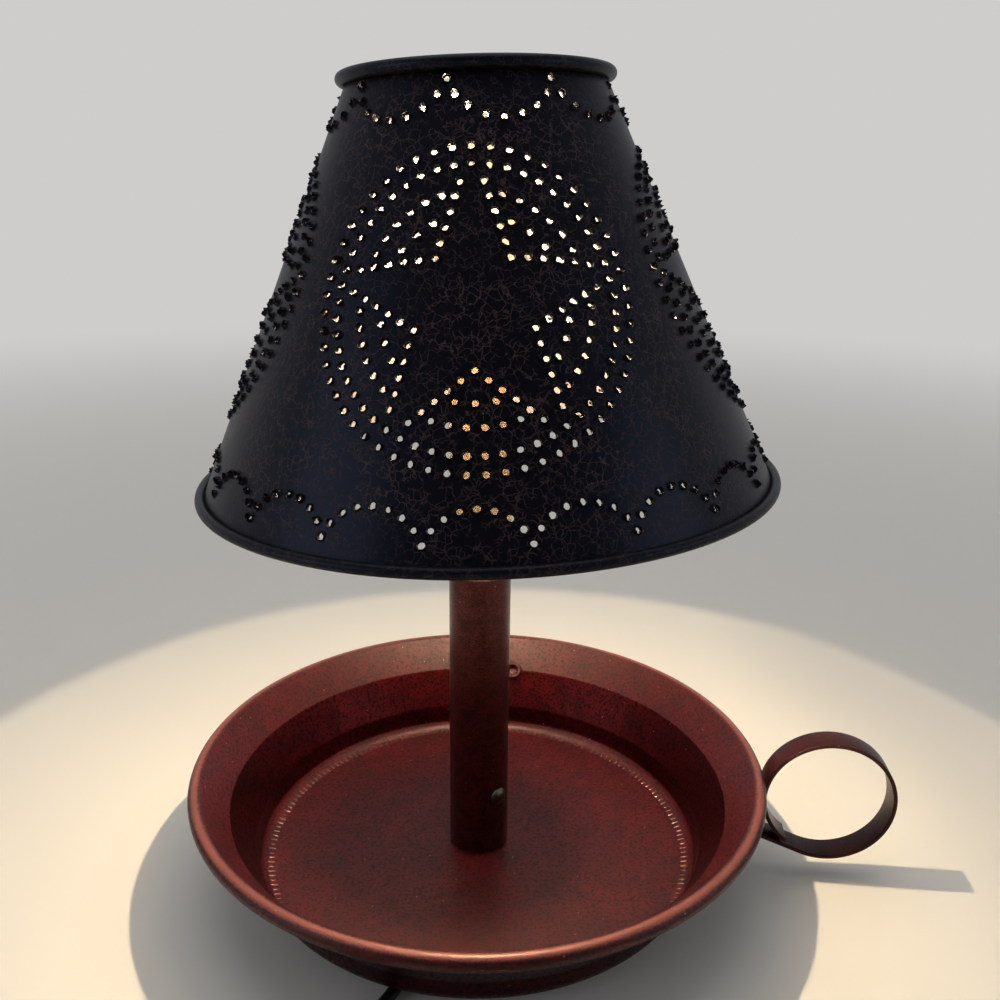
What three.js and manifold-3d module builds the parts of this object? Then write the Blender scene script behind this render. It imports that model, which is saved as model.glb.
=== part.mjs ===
// Electric chamberstick lamp: a spun tray with a ring handle carries a candle tube, whose top holds a
// candelabra socket and bulb. A wire clip sits on the bulb and carries a punched tin shade that tilts.
// Units are millimetres, +Z is up, and the table is z = 0. The camera's side is -Y, the handle's is +X.

import * as THREE from 'three';
import { mergeVertices } from 'three/addons/utils/BufferGeometryUtils.js';
import Module from 'manifold-3d';

const wasm = await Module();
wasm.setup();

// Driving sizes

const gap = 0.3; // clearance between pieces that seat on each other
const inch = 25.4;
const flatness = 0.002; // faces that share a plane this closely are merged after a cut

const padHeight = 5.2;
const padRadius = 5;
const padCircle = 68; // radius of the circle that the pads stand on
const padCount = 4;

const traySheet = 0.8;
const trayFloorRadius = 78; // where the floor starts to turn up
const trayCornerRadius = 6;
const trayWaistRise = 10.2; // height of the steep lower wall over the floor
const trayWallRun = 8.2; // how far the upper wall leans out
const trayWallRise = 14.8;
const trayFlareRun = 8.9;
const trayFlareRise = 9.2;
const lipRadius = 2.7; // outer radius of the rolled lip

const strapWidth = 10;
const strapSheet = 1.5;
const ringRadius = 24.4; // outer radius of the finger ring
const ringHeight = 34; // of the ring's centre over the table
const ringReach = 24.2; // from the lip's edge out to the ring's centre
const handleTurn = THREE.MathUtils.degToRad(-6);
const strapEndInset = 1.1; // how far the free end is drawn in from the ring
const strapFootLength = 11;

const tubeRadius = 22.2 / 2;
const tubeWall = 0.8;
const tubeLength = 187;
const tubeScrewRise = 24.3; // over the tube's foot
const tubeScrewTurn = THREE.MathUtils.degToRad(38); // to the right of the front
const tubeScrewHead = 3.2;

const postLength = 36;
const postBore = 5;
const postSeatDepth = 18; // how deep the riser pipe screws in

const pipeRadius = 4.75;
const pipeBore = 3.5;

const cup = { hub: 7, hubLength: 9, wall: 0.6, height: 12, thread: 5.6 };
const socketLength = 35;
const socketShellRadius = 6.5;
const socketShellWall = 0.35;
const socketShellDepth = 17;

const capRadius = 5.85; // of the bulb's screw cap
const capLength = 15.5;
const glassLength = 78;
const glassRadius = 16.5;
const glassWall = 0.7;
const glassWidest = 31; // height of the widest place over the cap

const clipWire = 0.75;
const clipSpread = THREE.MathUtils.degToRad(42); // half the arc that a loop spans on the glass
const saddleLength = 9;
const saddleSheet = 1;
const pinRadius = 1.1;
const pinRise = 3.2; // of the pin over the saddle's plate

const shadeLean = THREE.MathUtils.degToRad(2.12);
const shadeTopRadius = 43.3;
const shadeBottomRadius = 98.1;
const shadeHeight = 129.5;
const shadeOverPin = 6; // the top hem's height over the clip's pin
const shadeSheet = 0.6;
const crownHem = 2; // radii of the two rolled edges
const footHem = 1.7;
const barWidth = 8;
const barSheet = 1;

const medallionCount = 4;
const medallionTurn = THREE.MathUtils.degToRad(-1.9);
const medallionRise = 69.7; // of its centre over the bottom hem, up the slant
const medallionRadius = 44.4;
const medallionHoles = 55;
const starPitch = 4.4;
const starDots = 6; // from an inner corner towards a tip
const punchRadius = 1.3;
const petalRadius = 1.2; // of the petal that is torn out under each hole of a medallion's outer ring
const petalBite = 0.1; // how far a petal reaches into its hole, before the punch trims it
const petalRise = 1.3; // of a petal's tip over the sheet, before the punch trims it

const cordRadius = 2.1;
const cordBend = 10; // centre-line radius under the post
const cordSlack = 2.2; // how far the cord lies off the bore's middle before it bends
const cordLift = 0.1; // of the cord over the table
const coilRadius = 23.5; // at the middle of the turns
const coilTurns = 4; // in each of the two layers
const coilPitch = 4.8;
const coilSteps = 20;
const cordSides = 6;

// Sizes that follow

const trayLift = padHeight + gap;
const floorTop = trayLift + traySheet;
const waist = {
  r: trayFloorRadius + trayCornerRadius + 0.8,
  z: floorTop + trayWaistRise,
};
const corner = { r: waist.r + trayWallRun, z: waist.z + trayWallRise };
const crease = { r: corner.r + trayFlareRun, z: corner.z + trayFlareRise };
const lipLine = lipRadius - traySheet / 2;
const lipTuck = THREE.MathUtils.degToRad(200); // where the flare runs into the roll
const lipCentre = {
  r: crease.r - lipLine * Math.cos(lipTuck),
  z: crease.z - lipLine * Math.sin(lipTuck),
};
const lipEdge = lipCentre.r + lipRadius;
const ringCentre = lipEdge + ringReach;
const handleReach = (ringCentre + ringRadius) * Math.cos(handleTurn)
  + (strapWidth / 2) * Math.abs(Math.sin(handleTurn));
const axisX = -(handleReach - lipEdge) / 2; // puts the origin under the middle of the object

const tubeBore = tubeRadius - tubeWall;
const tubeFoot = floorTop + gap;
const tubeTop = tubeFoot + tubeLength;
const postRadius = tubeBore - gap;
const postTop = tubeFoot + postLength;
const spigotRadius = postBore + 1;
const pipeFoot = postTop - postSeatDepth + gap;
const bushRadius = postBore - gap;
const bushBore = bushRadius - 0.7;

const socketTop = tubeTop - 1;
const socketFoot = socketTop - socketLength;
const cupFoot = socketFoot - gap - 1;
const pipeTop = cupFoot - cup.hubLength + cup.thread;

const bulbSeat = tubeTop + 0.5;
const glassTip = bulbSeat + glassLength;
const leanCentre = bulbSeat + glassWidest;
const saddleFoot = glassTip + 1.2;
const pinZ = saddleFoot + saddleSheet + pinRise;
const pinX = -(pinZ - leanCentre) * Math.tan(shadeLean);

// The shade's heights count from the pin; its sheet runs inside both rolled hems
const foot = { r: shadeBottomRadius - footHem, z: shadeOverPin - shadeHeight + footHem };
const crown = { r: shadeTopRadius - crownHem, z: shadeOverPin - crownHem };
const hemSpan = Math.hypot(foot.r - crown.r, crown.z - foot.z);
const coneAngle = Math.atan2(foot.r - crown.r, crown.z - foot.z) + Math.asin((crownHem - footHem) / hemSpan);
const sheetInset = footHem - shadeSheet / 2;
const slantBottom = (foot.r - sheetInset * Math.cos(coneAngle)) / Math.sin(coneAngle);
const apexZ = foot.z - sheetInset * Math.sin(coneAngle) + slantBottom * Math.cos(coneAngle);

const cordLine = cordRadius + cordLift;

// Finishes

const finishes = {
  tray: [0x5a1c1c, 0.42, 0.35],
  tube: [0x4a1a18, 0.38, 0.3],
  strap: [0x4c1f1e, 0.42, 0.35],
  shade: [0x241a18, 0.45, 0.3],
  steel: [0x9a9a98, 0.4, 0.9],
  brass: [0xb08a42, 0.32, 0.9],
  phenolic: [0x1d1814, 0.55, 0],
  rubber: [0x141414, 0.85, 0],
  vinyl: [0x0d0d0e, 0.5, 0],
  glass: [0xf4efe4, 0.05, 0],
  tungsten: [0xffc56b, 0.3, 0.6],
};

function finish(name) {
  const [color, roughness, metalness] = finishes[name];
  return new THREE.MeshStandardMaterial({ color, roughness, metalness, name });
}

// Solids

function indexed(geometry) {
  const bare = geometry.clone();
  bare.deleteAttribute('normal');
  bare.deleteAttribute('uv');
  return mergeVertices(bare, 1e-4);
}

function signedVolume(geometry) {
  const p = geometry.attributes.position;
  const index = geometry.index;
  const [a, b, c] = [new THREE.Vector3(), new THREE.Vector3(), new THREE.Vector3()];
  let volume = 0;
  for (let i = 0; i < index.count; i += 3) {
    a.fromBufferAttribute(p, index.getX(i));
    b.fromBufferAttribute(p, index.getX(i + 1));
    c.fromBufferAttribute(p, index.getX(i + 2));
    volume += a.dot(b.cross(c)) / 6;
  }
  return volume;
}

// Shared vertices, with every face turned out
function closed(geometry) {
  const solid = indexed(geometry);
  if (signedVolume(solid) < 0) {
    const list = Array.from(solid.index.array);
    for (let i = 0; i < list.length; i += 3) [list[i], list[i + 1]] = [list[i + 1], list[i]];
    solid.setIndex(list);
  }
  return solid;
}

function toManifold(geometry) {
  const solid = closed(geometry);
  return new wasm.Manifold(new wasm.Mesh({
    numProp: 3,
    vertProperties: new Float32Array(solid.attributes.position.array),
    triVerts: new Uint32Array(solid.index.array),
  }));
}

function toGeometry(manifold) {
  const mesh = manifold.asOriginal().simplify(flatness).getMesh();
  const geometry = new THREE.BufferGeometry();
  geometry.setAttribute('position', new THREE.BufferAttribute(new Float32Array(mesh.vertProperties), 3));
  geometry.setIndex(Array.from(mesh.triVerts));
  return geometry;
}

function cut(geometry, cutters) {
  return toGeometry(cutters.reduce((solid, tool) => solid.subtract(toManifold(tool)), toManifold(geometry)));
}

function join(geometry, others) {
  return toGeometry(others.reduce((solid, other) => solid.add(toManifold(other)), toManifold(geometry)));
}

function piece(parent, name, geometry, finishName) {
  const solid = closed(geometry);
  solid.computeVertexNormals();
  const mesh = new THREE.Mesh(solid, finish(finishName));
  mesh.name = name;
  parent.add(mesh);
  return mesh;
}

// A closed [radius, height] outline turned about Z
function turned(outline, segments) {
  const points = outline.map(([r, z]) => new THREE.Vector2(r, z));
  const [first, last] = [points[0], points[points.length - 1]];
  if (first.x > 0 || last.x > 0) points.push(first.clone());
  return new THREE.LatheGeometry(points, segments).rotateX(Math.PI / 2);
}

function ringOutline(inner, outer, low, high) {
  return [[inner, low], [outer, low], [outer, high], [inner, high]];
}

function discOutline(radius, low, high) {
  return [[0, low], [radius, low], [radius, high], [0, high]];
}

function rod(radius, from, to, sides) {
  const line = new THREE.Vector3().subVectors(to, from);
  const geometry = new THREE.CylinderGeometry(radius, radius, line.length(), sides);
  const turn = new THREE.Quaternion().setFromUnitVectors(
    new THREE.Vector3(0, 1, 0),
    line.clone().normalize(),
  );
  return geometry.applyQuaternion(turn).translate(...from.clone().addScaledVector(line, 0.5).toArray());
}

function block(width, depth, height, x, y, z) {
  return new THREE.BoxGeometry(width, depth, height).translate(x, y, z);
}

function arc(r, z, radius, from, to, steps) {
  return Array.from({ length: steps + 1 }, (_, i) => {
    const a = from + ((to - from) * i) / steps;
    return [r + radius * Math.cos(a), z + radius * Math.sin(a)];
  });
}

// The outline of a sheet of even thickness whose middle follows an open path
function sheetOutline(path, thickness) {
  const side = (sign) => path.map(([x, y], i) => {
    const before = path[Math.max(i - 1, 0)];
    const after = path[Math.min(i + 1, path.length - 1)];
    const into = new THREE.Vector2(x - before[0], y - before[1]).normalize();
    const out = new THREE.Vector2(after[0] - x, after[1] - y).normalize();
    const along = into.clone().add(out).normalize();
    const cosine = into.lengthSq() && out.lengthSq() ? Math.max(along.dot(out), 0.5) : 1;
    const offset = (sign * thickness) / 2 / cosine;
    return [x - along.y * offset, y + along.x * offset];
  });
  return [...side(-1), ...side(1).reverse()];
}

function flatShape(outline) {
  return new THREE.Shape(outline.map(([x, y]) => new THREE.Vector2(x, y)));
}

// A [run, rise] outline made into a strip of the given width that stands across Y
function strip(outline, width) {
  return new THREE.ExtrudeGeometry(flatShape(outline), { depth: width, bevelEnabled: false })
    .rotateX(Math.PI / 2)
    .translate(0, width / 2, 0);
}

function wire(points, radius, steps, sides) {
  const section = Array.from({ length: sides }, (_, i) => {
    const a = (2 * Math.PI * i) / sides;
    return [radius * Math.cos(a), radius * Math.sin(a)];
  });
  const path = new THREE.CatmullRomCurve3(points, false, 'centripetal');
  return new THREE.ExtrudeGeometry(flatShape(section), { steps, extrudePath: path, bevelEnabled: false });
}

// Tray

function trayPath() {
  const floor = trayLift + traySheet / 2;
  return [
    [spigotRadius + gap, floor],
    ...arc(trayFloorRadius, floor + trayCornerRadius, trayCornerRadius, -Math.PI / 2, -0.12, 3),
    [waist.r, waist.z],
    [corner.r, corner.z],
    [crease.r, crease.z],
    ...arc(lipCentre.r, lipCentre.z, lipLine, lipTuck - 0.35, THREE.MathUtils.degToRad(-112), 6),
  ];
}

// The eyelet sits where the wall turns out into the flare, square to the bend
const eyelet = { turn: THREE.MathUtils.degToRad(9.8), bore: 1.9, barrel: 2.6, flange: 4.4, back: 3.6, reach: 1.5 };
const wallBend = (Math.atan2(trayWallRise, trayWallRun) + Math.atan2(trayFlareRise, trayFlareRun)) / 2;

function atEyelet(geometry) {
  return geometry
    .rotateY(-wallBend)
    .translate(corner.r, 0, corner.z)
    .rotateZ(Math.PI / 2 - eyelet.turn);
}

function tray(parent) {
  const pan = turned(sheetOutline(trayPath(), traySheet), 36);
  const hole = atEyelet(rod(
    eyelet.barrel + gap,
    new THREE.Vector3(0, 0, -3 * traySheet),
    new THREE.Vector3(0, 0, 3 * traySheet),
    12,
  ));
  piece(parent, 'tray', cut(pan, [hole]), 'tray');

  const front = traySheet / 2 + gap;
  const back = -eyelet.reach;
  const flange = 0.7;
  const outline = [
    [eyelet.bore, back - flange],
    [eyelet.back, back - flange],
    [eyelet.back, back],
    [eyelet.barrel, back],
    [eyelet.barrel, front],
    [eyelet.flange, front],
    [eyelet.flange - 0.6, front + flange],
    [eyelet.bore + 0.5, front + flange],
    [eyelet.bore, front],
  ];
  piece(parent, 'wall_eyelet', atEyelet(turned(outline, 12)), 'tray');

  for (let i = 0; i < padCount; i++) {
    const a = (2 * Math.PI * (i + 0.5)) / padCount;
    const pad = turned(
      [[0, 0], [padRadius, 0], [padRadius - 0.8, padHeight], [0, padHeight]],
      10,
    ).translate(padCircle * Math.cos(a), padCircle * Math.sin(a), 0);
    piece(parent, `foot_pad_${i + 1}`, pad, 'rubber');
  }
}

// Handle: a strap welded to the wall, led round into a ring, with its free end curled inside

function strapPath() {
  const line = ringRadius - strapSheet / 2;
  const wallAngle = Math.atan2(trayWallRise, trayWallRun);
  const clear = traySheet / 2 + gap + strapSheet / 2;
  const heel = {
    r: waist.r + clear / Math.sin(wallAngle) + (0.12 * trayWallRun),
    z: waist.z + 0.12 * trayWallRise,
  };
  const toe = {
    r: heel.r + strapFootLength * Math.cos(wallAngle),
    z: heel.z + strapFootLength * Math.sin(wallAngle),
  };
  const elbow = { r: lipEdge - 1.6, z: heel.z + 0.4 };
  const run = Math.hypot(ringCentre - elbow.r, ringHeight - elbow.z);
  const fall = Math.atan2(ringHeight - elbow.z, ringCentre - elbow.r) - Math.asin(line / run);
  const start = fall - Math.PI / 2;
  const end = THREE.MathUtils.degToRad(230);
  const steps = 26;
  const ring = Array.from({ length: steps + 1 }, (_, i) => {
    const a = start + ((end - start) * i) / steps;
    const drawn = strapEndInset * Math.max(0, (a - Math.PI) / (end - Math.PI));
    return [ringCentre + (line - drawn) * Math.cos(a), ringHeight + (line - drawn) * Math.sin(a)];
  });
  return [[toe.r, toe.z], [heel.r, heel.z], [heel.r + 1.5, heel.z - 0.6], [elbow.r, elbow.z], ...ring];
}

function handle(parent) {
  const strap = strip(sheetOutline(strapPath(), strapSheet), strapWidth).rotateZ(handleTurn);
  piece(parent, 'handle_ring', strap, 'strap');
}

// Post, riser pipe and candle tube

function stem(parent) {
  const spigotFoot = trayLift - gap;
  const headHeight = 0.6;
  const seat = postTop - postSeatDepth;
  const post = turned([
    [postBore, spigotFoot + gap],
    [postBore + 1.1, spigotFoot - headHeight],
    [spigotRadius + 2, spigotFoot - headHeight],
    [spigotRadius + 2, spigotFoot],
    [spigotRadius, spigotFoot],
    [spigotRadius, tubeFoot],
    [postRadius, tubeFoot],
    [postRadius, postTop],
    [pipeRadius + gap, postTop],
    [pipeRadius + gap, seat],
    [postBore, seat],
  ], 18);
  const out = new THREE.Vector3(Math.sin(tubeScrewTurn), -Math.cos(tubeScrewTurn), 0);
  const screwZ = tubeFoot + tubeScrewRise;
  const onScrew = (radius) => out.clone().multiplyScalar(radius).setZ(screwZ);
  const shank = 1.5;
  const screwEnd = pipeRadius + 2 * gap;
  const screwHole = rod(shank + gap, onScrew(screwEnd - gap), onScrew(tubeRadius + 2), 10);
  piece(parent, 'tube_post', cut(post, [screwHole]), 'steel');

  piece(parent, 'cord_bushing', turned(ringOutline(bushBore, bushRadius, seat - 9, seat - 4), 14), 'phenolic');

  const tube = turned(ringOutline(tubeBore, tubeRadius, tubeFoot, tubeTop), 24);
  piece(parent, 'candle_tube', cut(tube, [screwHole]), 'tube');

  const headRise = 2.1;
  const screw = turned([
    [0, screwEnd],
    [shank, screwEnd],
    [shank, tubeRadius + gap],
    [tubeScrewHead, tubeRadius + gap],
    [tubeScrewHead, tubeRadius + gap + headRise / 2],
    [tubeScrewHead * 0.6, tubeRadius + gap + headRise],
    [0, tubeRadius + gap + headRise * 1.1],
  ], 12);
  screw.applyQuaternion(new THREE.Quaternion().setFromUnitVectors(new THREE.Vector3(0, 0, 1), out));
  piece(parent, 'tube_screw', screw.translate(0, 0, screwZ), 'tube');

  piece(parent, 'riser_pipe', turned(ringOutline(pipeBore, pipeRadius, pipeFoot, pipeTop), 18), 'steel');

  const nutFoot = postTop + gap;
  const nutHeight = 3;
  const hexagon = new THREE.CylinderGeometry(8.1, 8.1, nutHeight, 6)
    .rotateX(Math.PI / 2)
    .translate(0, 0, nutFoot + nutHeight / 2);
  const nutBore = rod(
    pipeRadius + gap,
    new THREE.Vector3(0, 0, nutFoot - 1),
    new THREE.Vector3(0, 0, nutFoot + nutHeight + 1),
    18,
  );
  piece(parent, 'pipe_locknut', cut(hexagon, [nutBore]), 'brass');
}

// Candelabra socket on top of the pipe

function socket(parent) {
  const cupOuter = tubeBore - gap;
  const cupInner = cupOuter - cup.wall;
  piece(parent, 'socket_cup', turned([
    [pipeRadius + gap, cupFoot - cup.hubLength],
    [cup.hub, cupFoot - cup.hubLength],
    [cup.hub, cupFoot],
    [cupOuter, cupFoot],
    [cupOuter, cupFoot + cup.height],
    [cupInner, cupFoot + cup.height],
    [cupInner, cupFoot + 1],
    [pipeRadius + gap, cupFoot + 1],
  ], 16), 'steel');

  const well = socketShellRadius + gap;
  const wellFoot = socketTop - socketShellDepth - 4;
  const bodyRadius = cupInner - gap;
  const leadWay = leadRadius + gap;
  const core = turned([
    [0, socketFoot],
    [bodyRadius, socketFoot],
    [bodyRadius, socketTop],
    [well, socketTop],
    [well, wellFoot],
    [0, wellFoot],
  ], 16);
  const leadWays = [-1, 1].map((side) => rod(
    leadWay,
    new THREE.Vector3(side * leadOffset, 0, socketFoot - 1),
    new THREE.Vector3(side * leadOffset, 0, leadTop + gap),
    8,
  ));
  piece(parent, 'socket_body', cut(core, leadWays), 'phenolic');

  const shellTop = socketTop - 0.8;
  const shellInner = socketShellRadius - socketShellWall;
  piece(parent, 'socket_shell', turned([
    [3.6, shellTop - socketShellDepth],
    [socketShellRadius, shellTop - socketShellDepth],
    [socketShellRadius, shellTop],
    [shellInner, shellTop],
    [shellInner, shellTop - socketShellDepth + socketShellWall],
    [3.6, shellTop - socketShellDepth + socketShellWall],
  ], 16), 'brass');

  const tongueFoot = wellFoot + gap;
  const tongueTop = contactFoot - gap;
  const tongue = sheetOutline(
    [[-3, tongueFoot + 0.2], [1.4, tongueFoot + 0.2], [0.4, tongueTop - 0.2], [-1.6, tongueTop - 0.2]],
    0.4,
  );
  piece(parent, 'socket_contact', strip(tongue, 3), 'brass');
}

// Leads from the cord's end up the pipe to the socket

const leadRadius = 0.85;
const leadOffset = 1.3;
const jacketEnd = pipeFoot - 2.2;
const leadTop = socketFoot + 6;

function leads(parent) {
  ['lead_line', 'lead_neutral'].forEach((name, i) => {
    const x = (i ? 1 : -1) * leadOffset;
    const lead = rod(
      leadRadius,
      new THREE.Vector3(x, 0, jacketEnd + gap),
      new THREE.Vector3(x, 0, leadTop),
      8,
    );
    piece(parent, name, lead, 'vinyl');
  });
}

// Bulb

const capFoot = bulbSeat - capLength;
const insulatorHeight = 1.6;
const contactHeight = 1.3;
const contactFoot = capFoot - insulatorHeight - contactHeight;
const neckRadius = capRadius - 0.4 - gap;
const neckFoot = bulbSeat - 7;

// The glass swells to its widest place and draws in to a blunt tip
const glassCurve = [[0, 0.4], [0.08, 0.52], [0.2, 0.82], [0.3, 0.95], [0.4, 1], [0.52, 0.93], [0.65, 0.74], [0.78, 0.5], [0.9, 0.27], [0.97, 0.12]];

function glassAt(height) {
  const share = height / glassLength;
  const i = Math.max(1, glassCurve.findIndex(([s]) => s >= share));
  const [low, high] = [glassCurve[i - 1], glassCurve[i]];
  return glassRadius * (low[1] + ((high[1] - low[1]) * (share - low[0])) / (high[0] - low[0]));
}

function bulb(parent) {
  const side = (inset, tip) => [
    [neckRadius - inset, neckFoot],
    [neckRadius - inset, bulbSeat],
    ...glassCurve.map(([s, r]) => [glassRadius * r - inset, bulbSeat + gap + s * (glassLength - gap)]),
    [0, tip],
  ];
  const outer = side(0, glassTip);
  const inner = side(glassWall, glassTip - glassWall);
  inner[inner.length - 2][0] = glassRadius * glassCurve[glassCurve.length - 1][1] * 0.6;
  const glass = [...outer, ...inner.reverse()];
  piece(parent, 'bulb_glass', turned(glass, 14), 'glass');

  piece(parent, 'bulb_cap', turned([
    [3, capFoot],
    [capRadius - 1, capFoot],
    [capRadius, capFoot + 1.4],
    [capRadius, bulbSeat],
    [capRadius - 0.4, bulbSeat],
    [capRadius - 0.4, capFoot + 1.8],
    [3, capFoot + 0.4],
  ], 12), 'brass');
  const beadTop = capFoot - gap / 2;
  const beadFoot = beadTop - insulatorHeight + gap / 2;
  piece(parent, 'bulb_insulator', turned(
    [[0, beadFoot], [2.6, beadFoot], [capRadius - 1.2, beadTop], [0, beadTop]],
    12,
  ), 'phenolic');
  piece(parent, 'bulb_contact', turned(discOutline(2.1, contactFoot, beadFoot - gap / 2), 10), 'steel');

  const stemTop = bulbSeat + glassWidest * 0.85;
  piece(parent, 'bulb_stem', turned([
    [0, neckFoot + 1],
    [neckRadius - glassWall - gap, neckFoot + 1],
    [2, neckFoot + 9],
    [1.6, stemTop],
    [0, stemTop + 1.6],
  ], 10), 'glass');

  const hotZ = bulbSeat + 45;
  const peak = new THREE.Vector3(3.2, 0, hotZ + 10.5);
  const ends = [new THREE.Vector3(6.6, -3, hotZ), new THREE.Vector3(0.6, 4.5, hotZ)];
  ends.forEach((end, i) => {
    const root = new THREE.Vector3(i ? -0.4 : 2.4, i ? 2.6 : -2.2, stemTop - 6);
    const knee = new THREE.Vector3(end.x * 0.9, end.y, hotZ - 8);
    const foot = new THREE.Vector3(end.x, end.y, hotZ - 1);
    piece(parent, `filament_lead_${i + 1}`, wire([root, knee, foot], 0.3, 6, 5), 'steel');
  });
  const hot = new THREE.CatmullRomCurve3([ends[0], peak, ends[1]], false, 'centripetal').getPoints(4);
  piece(parent, 'filament', wire(hot, 0.25, 8, 5), 'tungsten');
}

// Clip: two wire loops that straddle the glass, joined by a saddle that carries the pivot pin

function clip(parent) {
  const saddleWidth = 7;
  const earHeight = pinRise + 2.4;
  const low = saddleFoot;
  const high = low + saddleSheet;
  const plate = block(saddleWidth, saddleLength, saddleSheet, pinX, 0, low + saddleSheet / 2);
  const ears = [-1, 1].map((side) => block(
    5,
    saddleSheet,
    earHeight + 0.2,
    pinX,
    side * (saddleLength - saddleSheet) / 2,
    high + earHeight / 2 - 0.1,
  ));
  const pinHole = rod(
    pinRadius + gap,
    new THREE.Vector3(pinX, -saddleLength, pinZ),
    new THREE.Vector3(pinX, saddleLength, pinZ),
    10,
  );
  piece(parent, 'clip_saddle', cut(join(plate, ears), [pinHole]), 'steel');

  ['clip_loop_left', 'clip_loop_right'].forEach((name, i) => {
    const side = i ? 1 : -1;
    const onGlass = (height, turn) => {
      const r = glassAt(height) + clipWire + 1.6 * gap;
      return new THREE.Vector3(side * r * Math.cos(turn), r * Math.sin(turn), bulbSeat + height);
    };
    const seat = (y) => new THREE.Vector3(
      pinX + side * (saddleWidth / 2 + clipWire + gap),
      y,
      low + saddleSheet / 2,
    );
    const leg = (sign) => [0.76, 0.62, 0.5].map((s) => onGlass(s * glassLength, sign * clipSpread));
    const foot = [-0.8, -0.3, 0.3, 0.8].map((s) => onGlass(glassWidest + 2, s * clipSpread));
    const points = [
      seat(-saddleLength / 2 + 0.5),
      ...leg(-1),
      ...foot,
      ...leg(1).reverse(),
      seat(saddleLength / 2 - 0.5),
    ];
    piece(parent, name, wire(points, clipWire, 22, 6), 'steel');
  });
}

// Shade: its holes are laid out on the flat pattern, as a tinsmith does, and rolled into the cone

function rolled(x, y) {
  return { turn: Math.atan2(x, y) / Math.sin(coneAngle), slant: Math.hypot(x, y) };
}

function ringDots(centre, radius, count) {
  return Array.from({ length: count }, (_, i) => {
    const a = (2 * Math.PI * i) / count;
    return [radius * Math.sin(a), centre - radius * Math.cos(a)];
  });
}

function starDotsAt(centre, radius, pitch, count) {
  const waistRadius = (radius * Math.cos((2 * Math.PI) / 5)) / Math.cos(Math.PI / 5);
  const dots = [];
  for (let tip = 0; tip < 5; tip++) {
    const tipTurn = (2 * Math.PI * tip) / 5;
    for (const side of [-1, 1]) {
      const cornerTurn = tipTurn + (side * Math.PI) / 5;
      const from = [waistRadius * Math.sin(cornerTurn), -waistRadius * Math.cos(cornerTurn)];
      const to = [radius * Math.sin(tipTurn), -radius * Math.cos(tipTurn)];
      const length = Math.hypot(to[0] - from[0], to[1] - from[1]);
      for (let i = side < 0 ? 0 : 1; i < count; i++) {
        const s = (i * pitch) / length;
        dots.push([from[0] + (to[0] - from[0]) * s, centre + from[1] + (to[1] - from[1]) * s]);
      }
    }
  }
  return dots;
}

// The medallions' holes: those of the outer rings have torn petals, and those of the stars are plain
function punchedHoles() {
  const centre = slantBottom - medallionRise;
  const rings = ringDots(centre, medallionRadius, medallionHoles);
  const stars = starDotsAt(centre, medallionRadius, starPitch, starDots);
  const around = (dots) => Array.from({ length: medallionCount }, (_, i) => dots.map(([x, y]) => {
    const hole = rolled(x, y);
    return { turn: hole.turn + medallionTurn + (2 * Math.PI * i) / medallionCount, slant: hole.slant };
  })).flat();
  return { torn: around(rings), plain: around(stars) };
}

// Three-sided prisms, one at each hole, that point up (1) or down (-1) the slant. Each end has a
// radius, a height over the middle of the sheet and a drop below the hole's middle
function prisms(holes, pointing, ends) {
  const positions = [];
  const index = [];
  const faces = [[0, 2, 1], [3, 4, 5], [0, 1, 4], [0, 4, 3], [1, 2, 5], [1, 5, 4], [2, 0, 3], [2, 3, 5]];
  for (const { turn, slant } of holes) {
    const out = new THREE.Vector3(Math.sin(turn), -Math.cos(turn), 0);
    const across = new THREE.Vector3(Math.cos(turn), Math.sin(turn), 0);
    const up = new THREE.Vector3(0, 0, Math.cos(coneAngle)).addScaledVector(out, -Math.sin(coneAngle));
    const normal = new THREE.Vector3(0, 0, Math.sin(coneAngle)).addScaledVector(out, Math.cos(coneAngle));
    const centre = up.clone().multiplyScalar(-slant).setZ(apexZ - slant * Math.cos(coneAngle));
    const first = positions.length / 3;
    for (const [radius, height, drop] of ends) {
      for (let i = 0; i < 3; i++) {
        const a = (pointing * Math.PI) / 2 + (2 * Math.PI * i) / 3;
        const point = centre.clone()
          .addScaledVector(across, radius * Math.cos(a))
          .addScaledVector(up, radius * Math.sin(a) - drop)
          .addScaledVector(normal, height);
        positions.push(...point.toArray());
      }
    }
    faces.forEach((face) => index.push(...face.map((i) => first + i)));
  }
  const geometry = new THREE.BufferGeometry();
  geometry.setAttribute('position', new THREE.Float32BufferAttribute(positions, 3));
  geometry.setIndex(index);
  return geometry;
}

// A rolled hem in section, outside the sheet, between two angles from the way that the sheet faces
function hemArc(centre, radius, from, to) {
  return arc(0, 0, radius, from, to, 6).map(([out, up]) => [
    centre.r + out * Math.cos(coneAngle) - up * Math.sin(coneAngle),
    centre.z + out * Math.sin(coneAngle) + up * Math.cos(coneAngle),
  ]);
}

function shadeOutline() {
  const meets = (radius) => Math.acos((shadeSheet - radius) / radius);
  return [
    ...hemArc(foot, footHem, Math.PI, 2 * Math.PI + meets(footHem)),
    ...hemArc(crown, crownHem, -meets(crownHem), Math.PI),
  ];
}

// The punched cone. A petal is hinged on its hole's flat side, and the punch trims it there
function punchedCone() {
  const { torn, plain } = punchedHoles();
  const hinge = punchRadius / 2;
  const tip = shadeSheet / 2 + petalRise;
  const petals = prisms(torn, -1, [
    [petalRadius, -shadeSheet / 3, hinge + petalRadius / 2 - petalBite],
    [0, tip, hinge - 2 * petalBite],
  ]);
  const reach = tip + shadeSheet;
  const punches = prisms([...torn, ...plain], 1, [[punchRadius, -reach, 0], [punchRadius, reach, 0]]);
  return cut(join(turned(shadeOutline(), 32), [petals]), [punches]);
}

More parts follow.
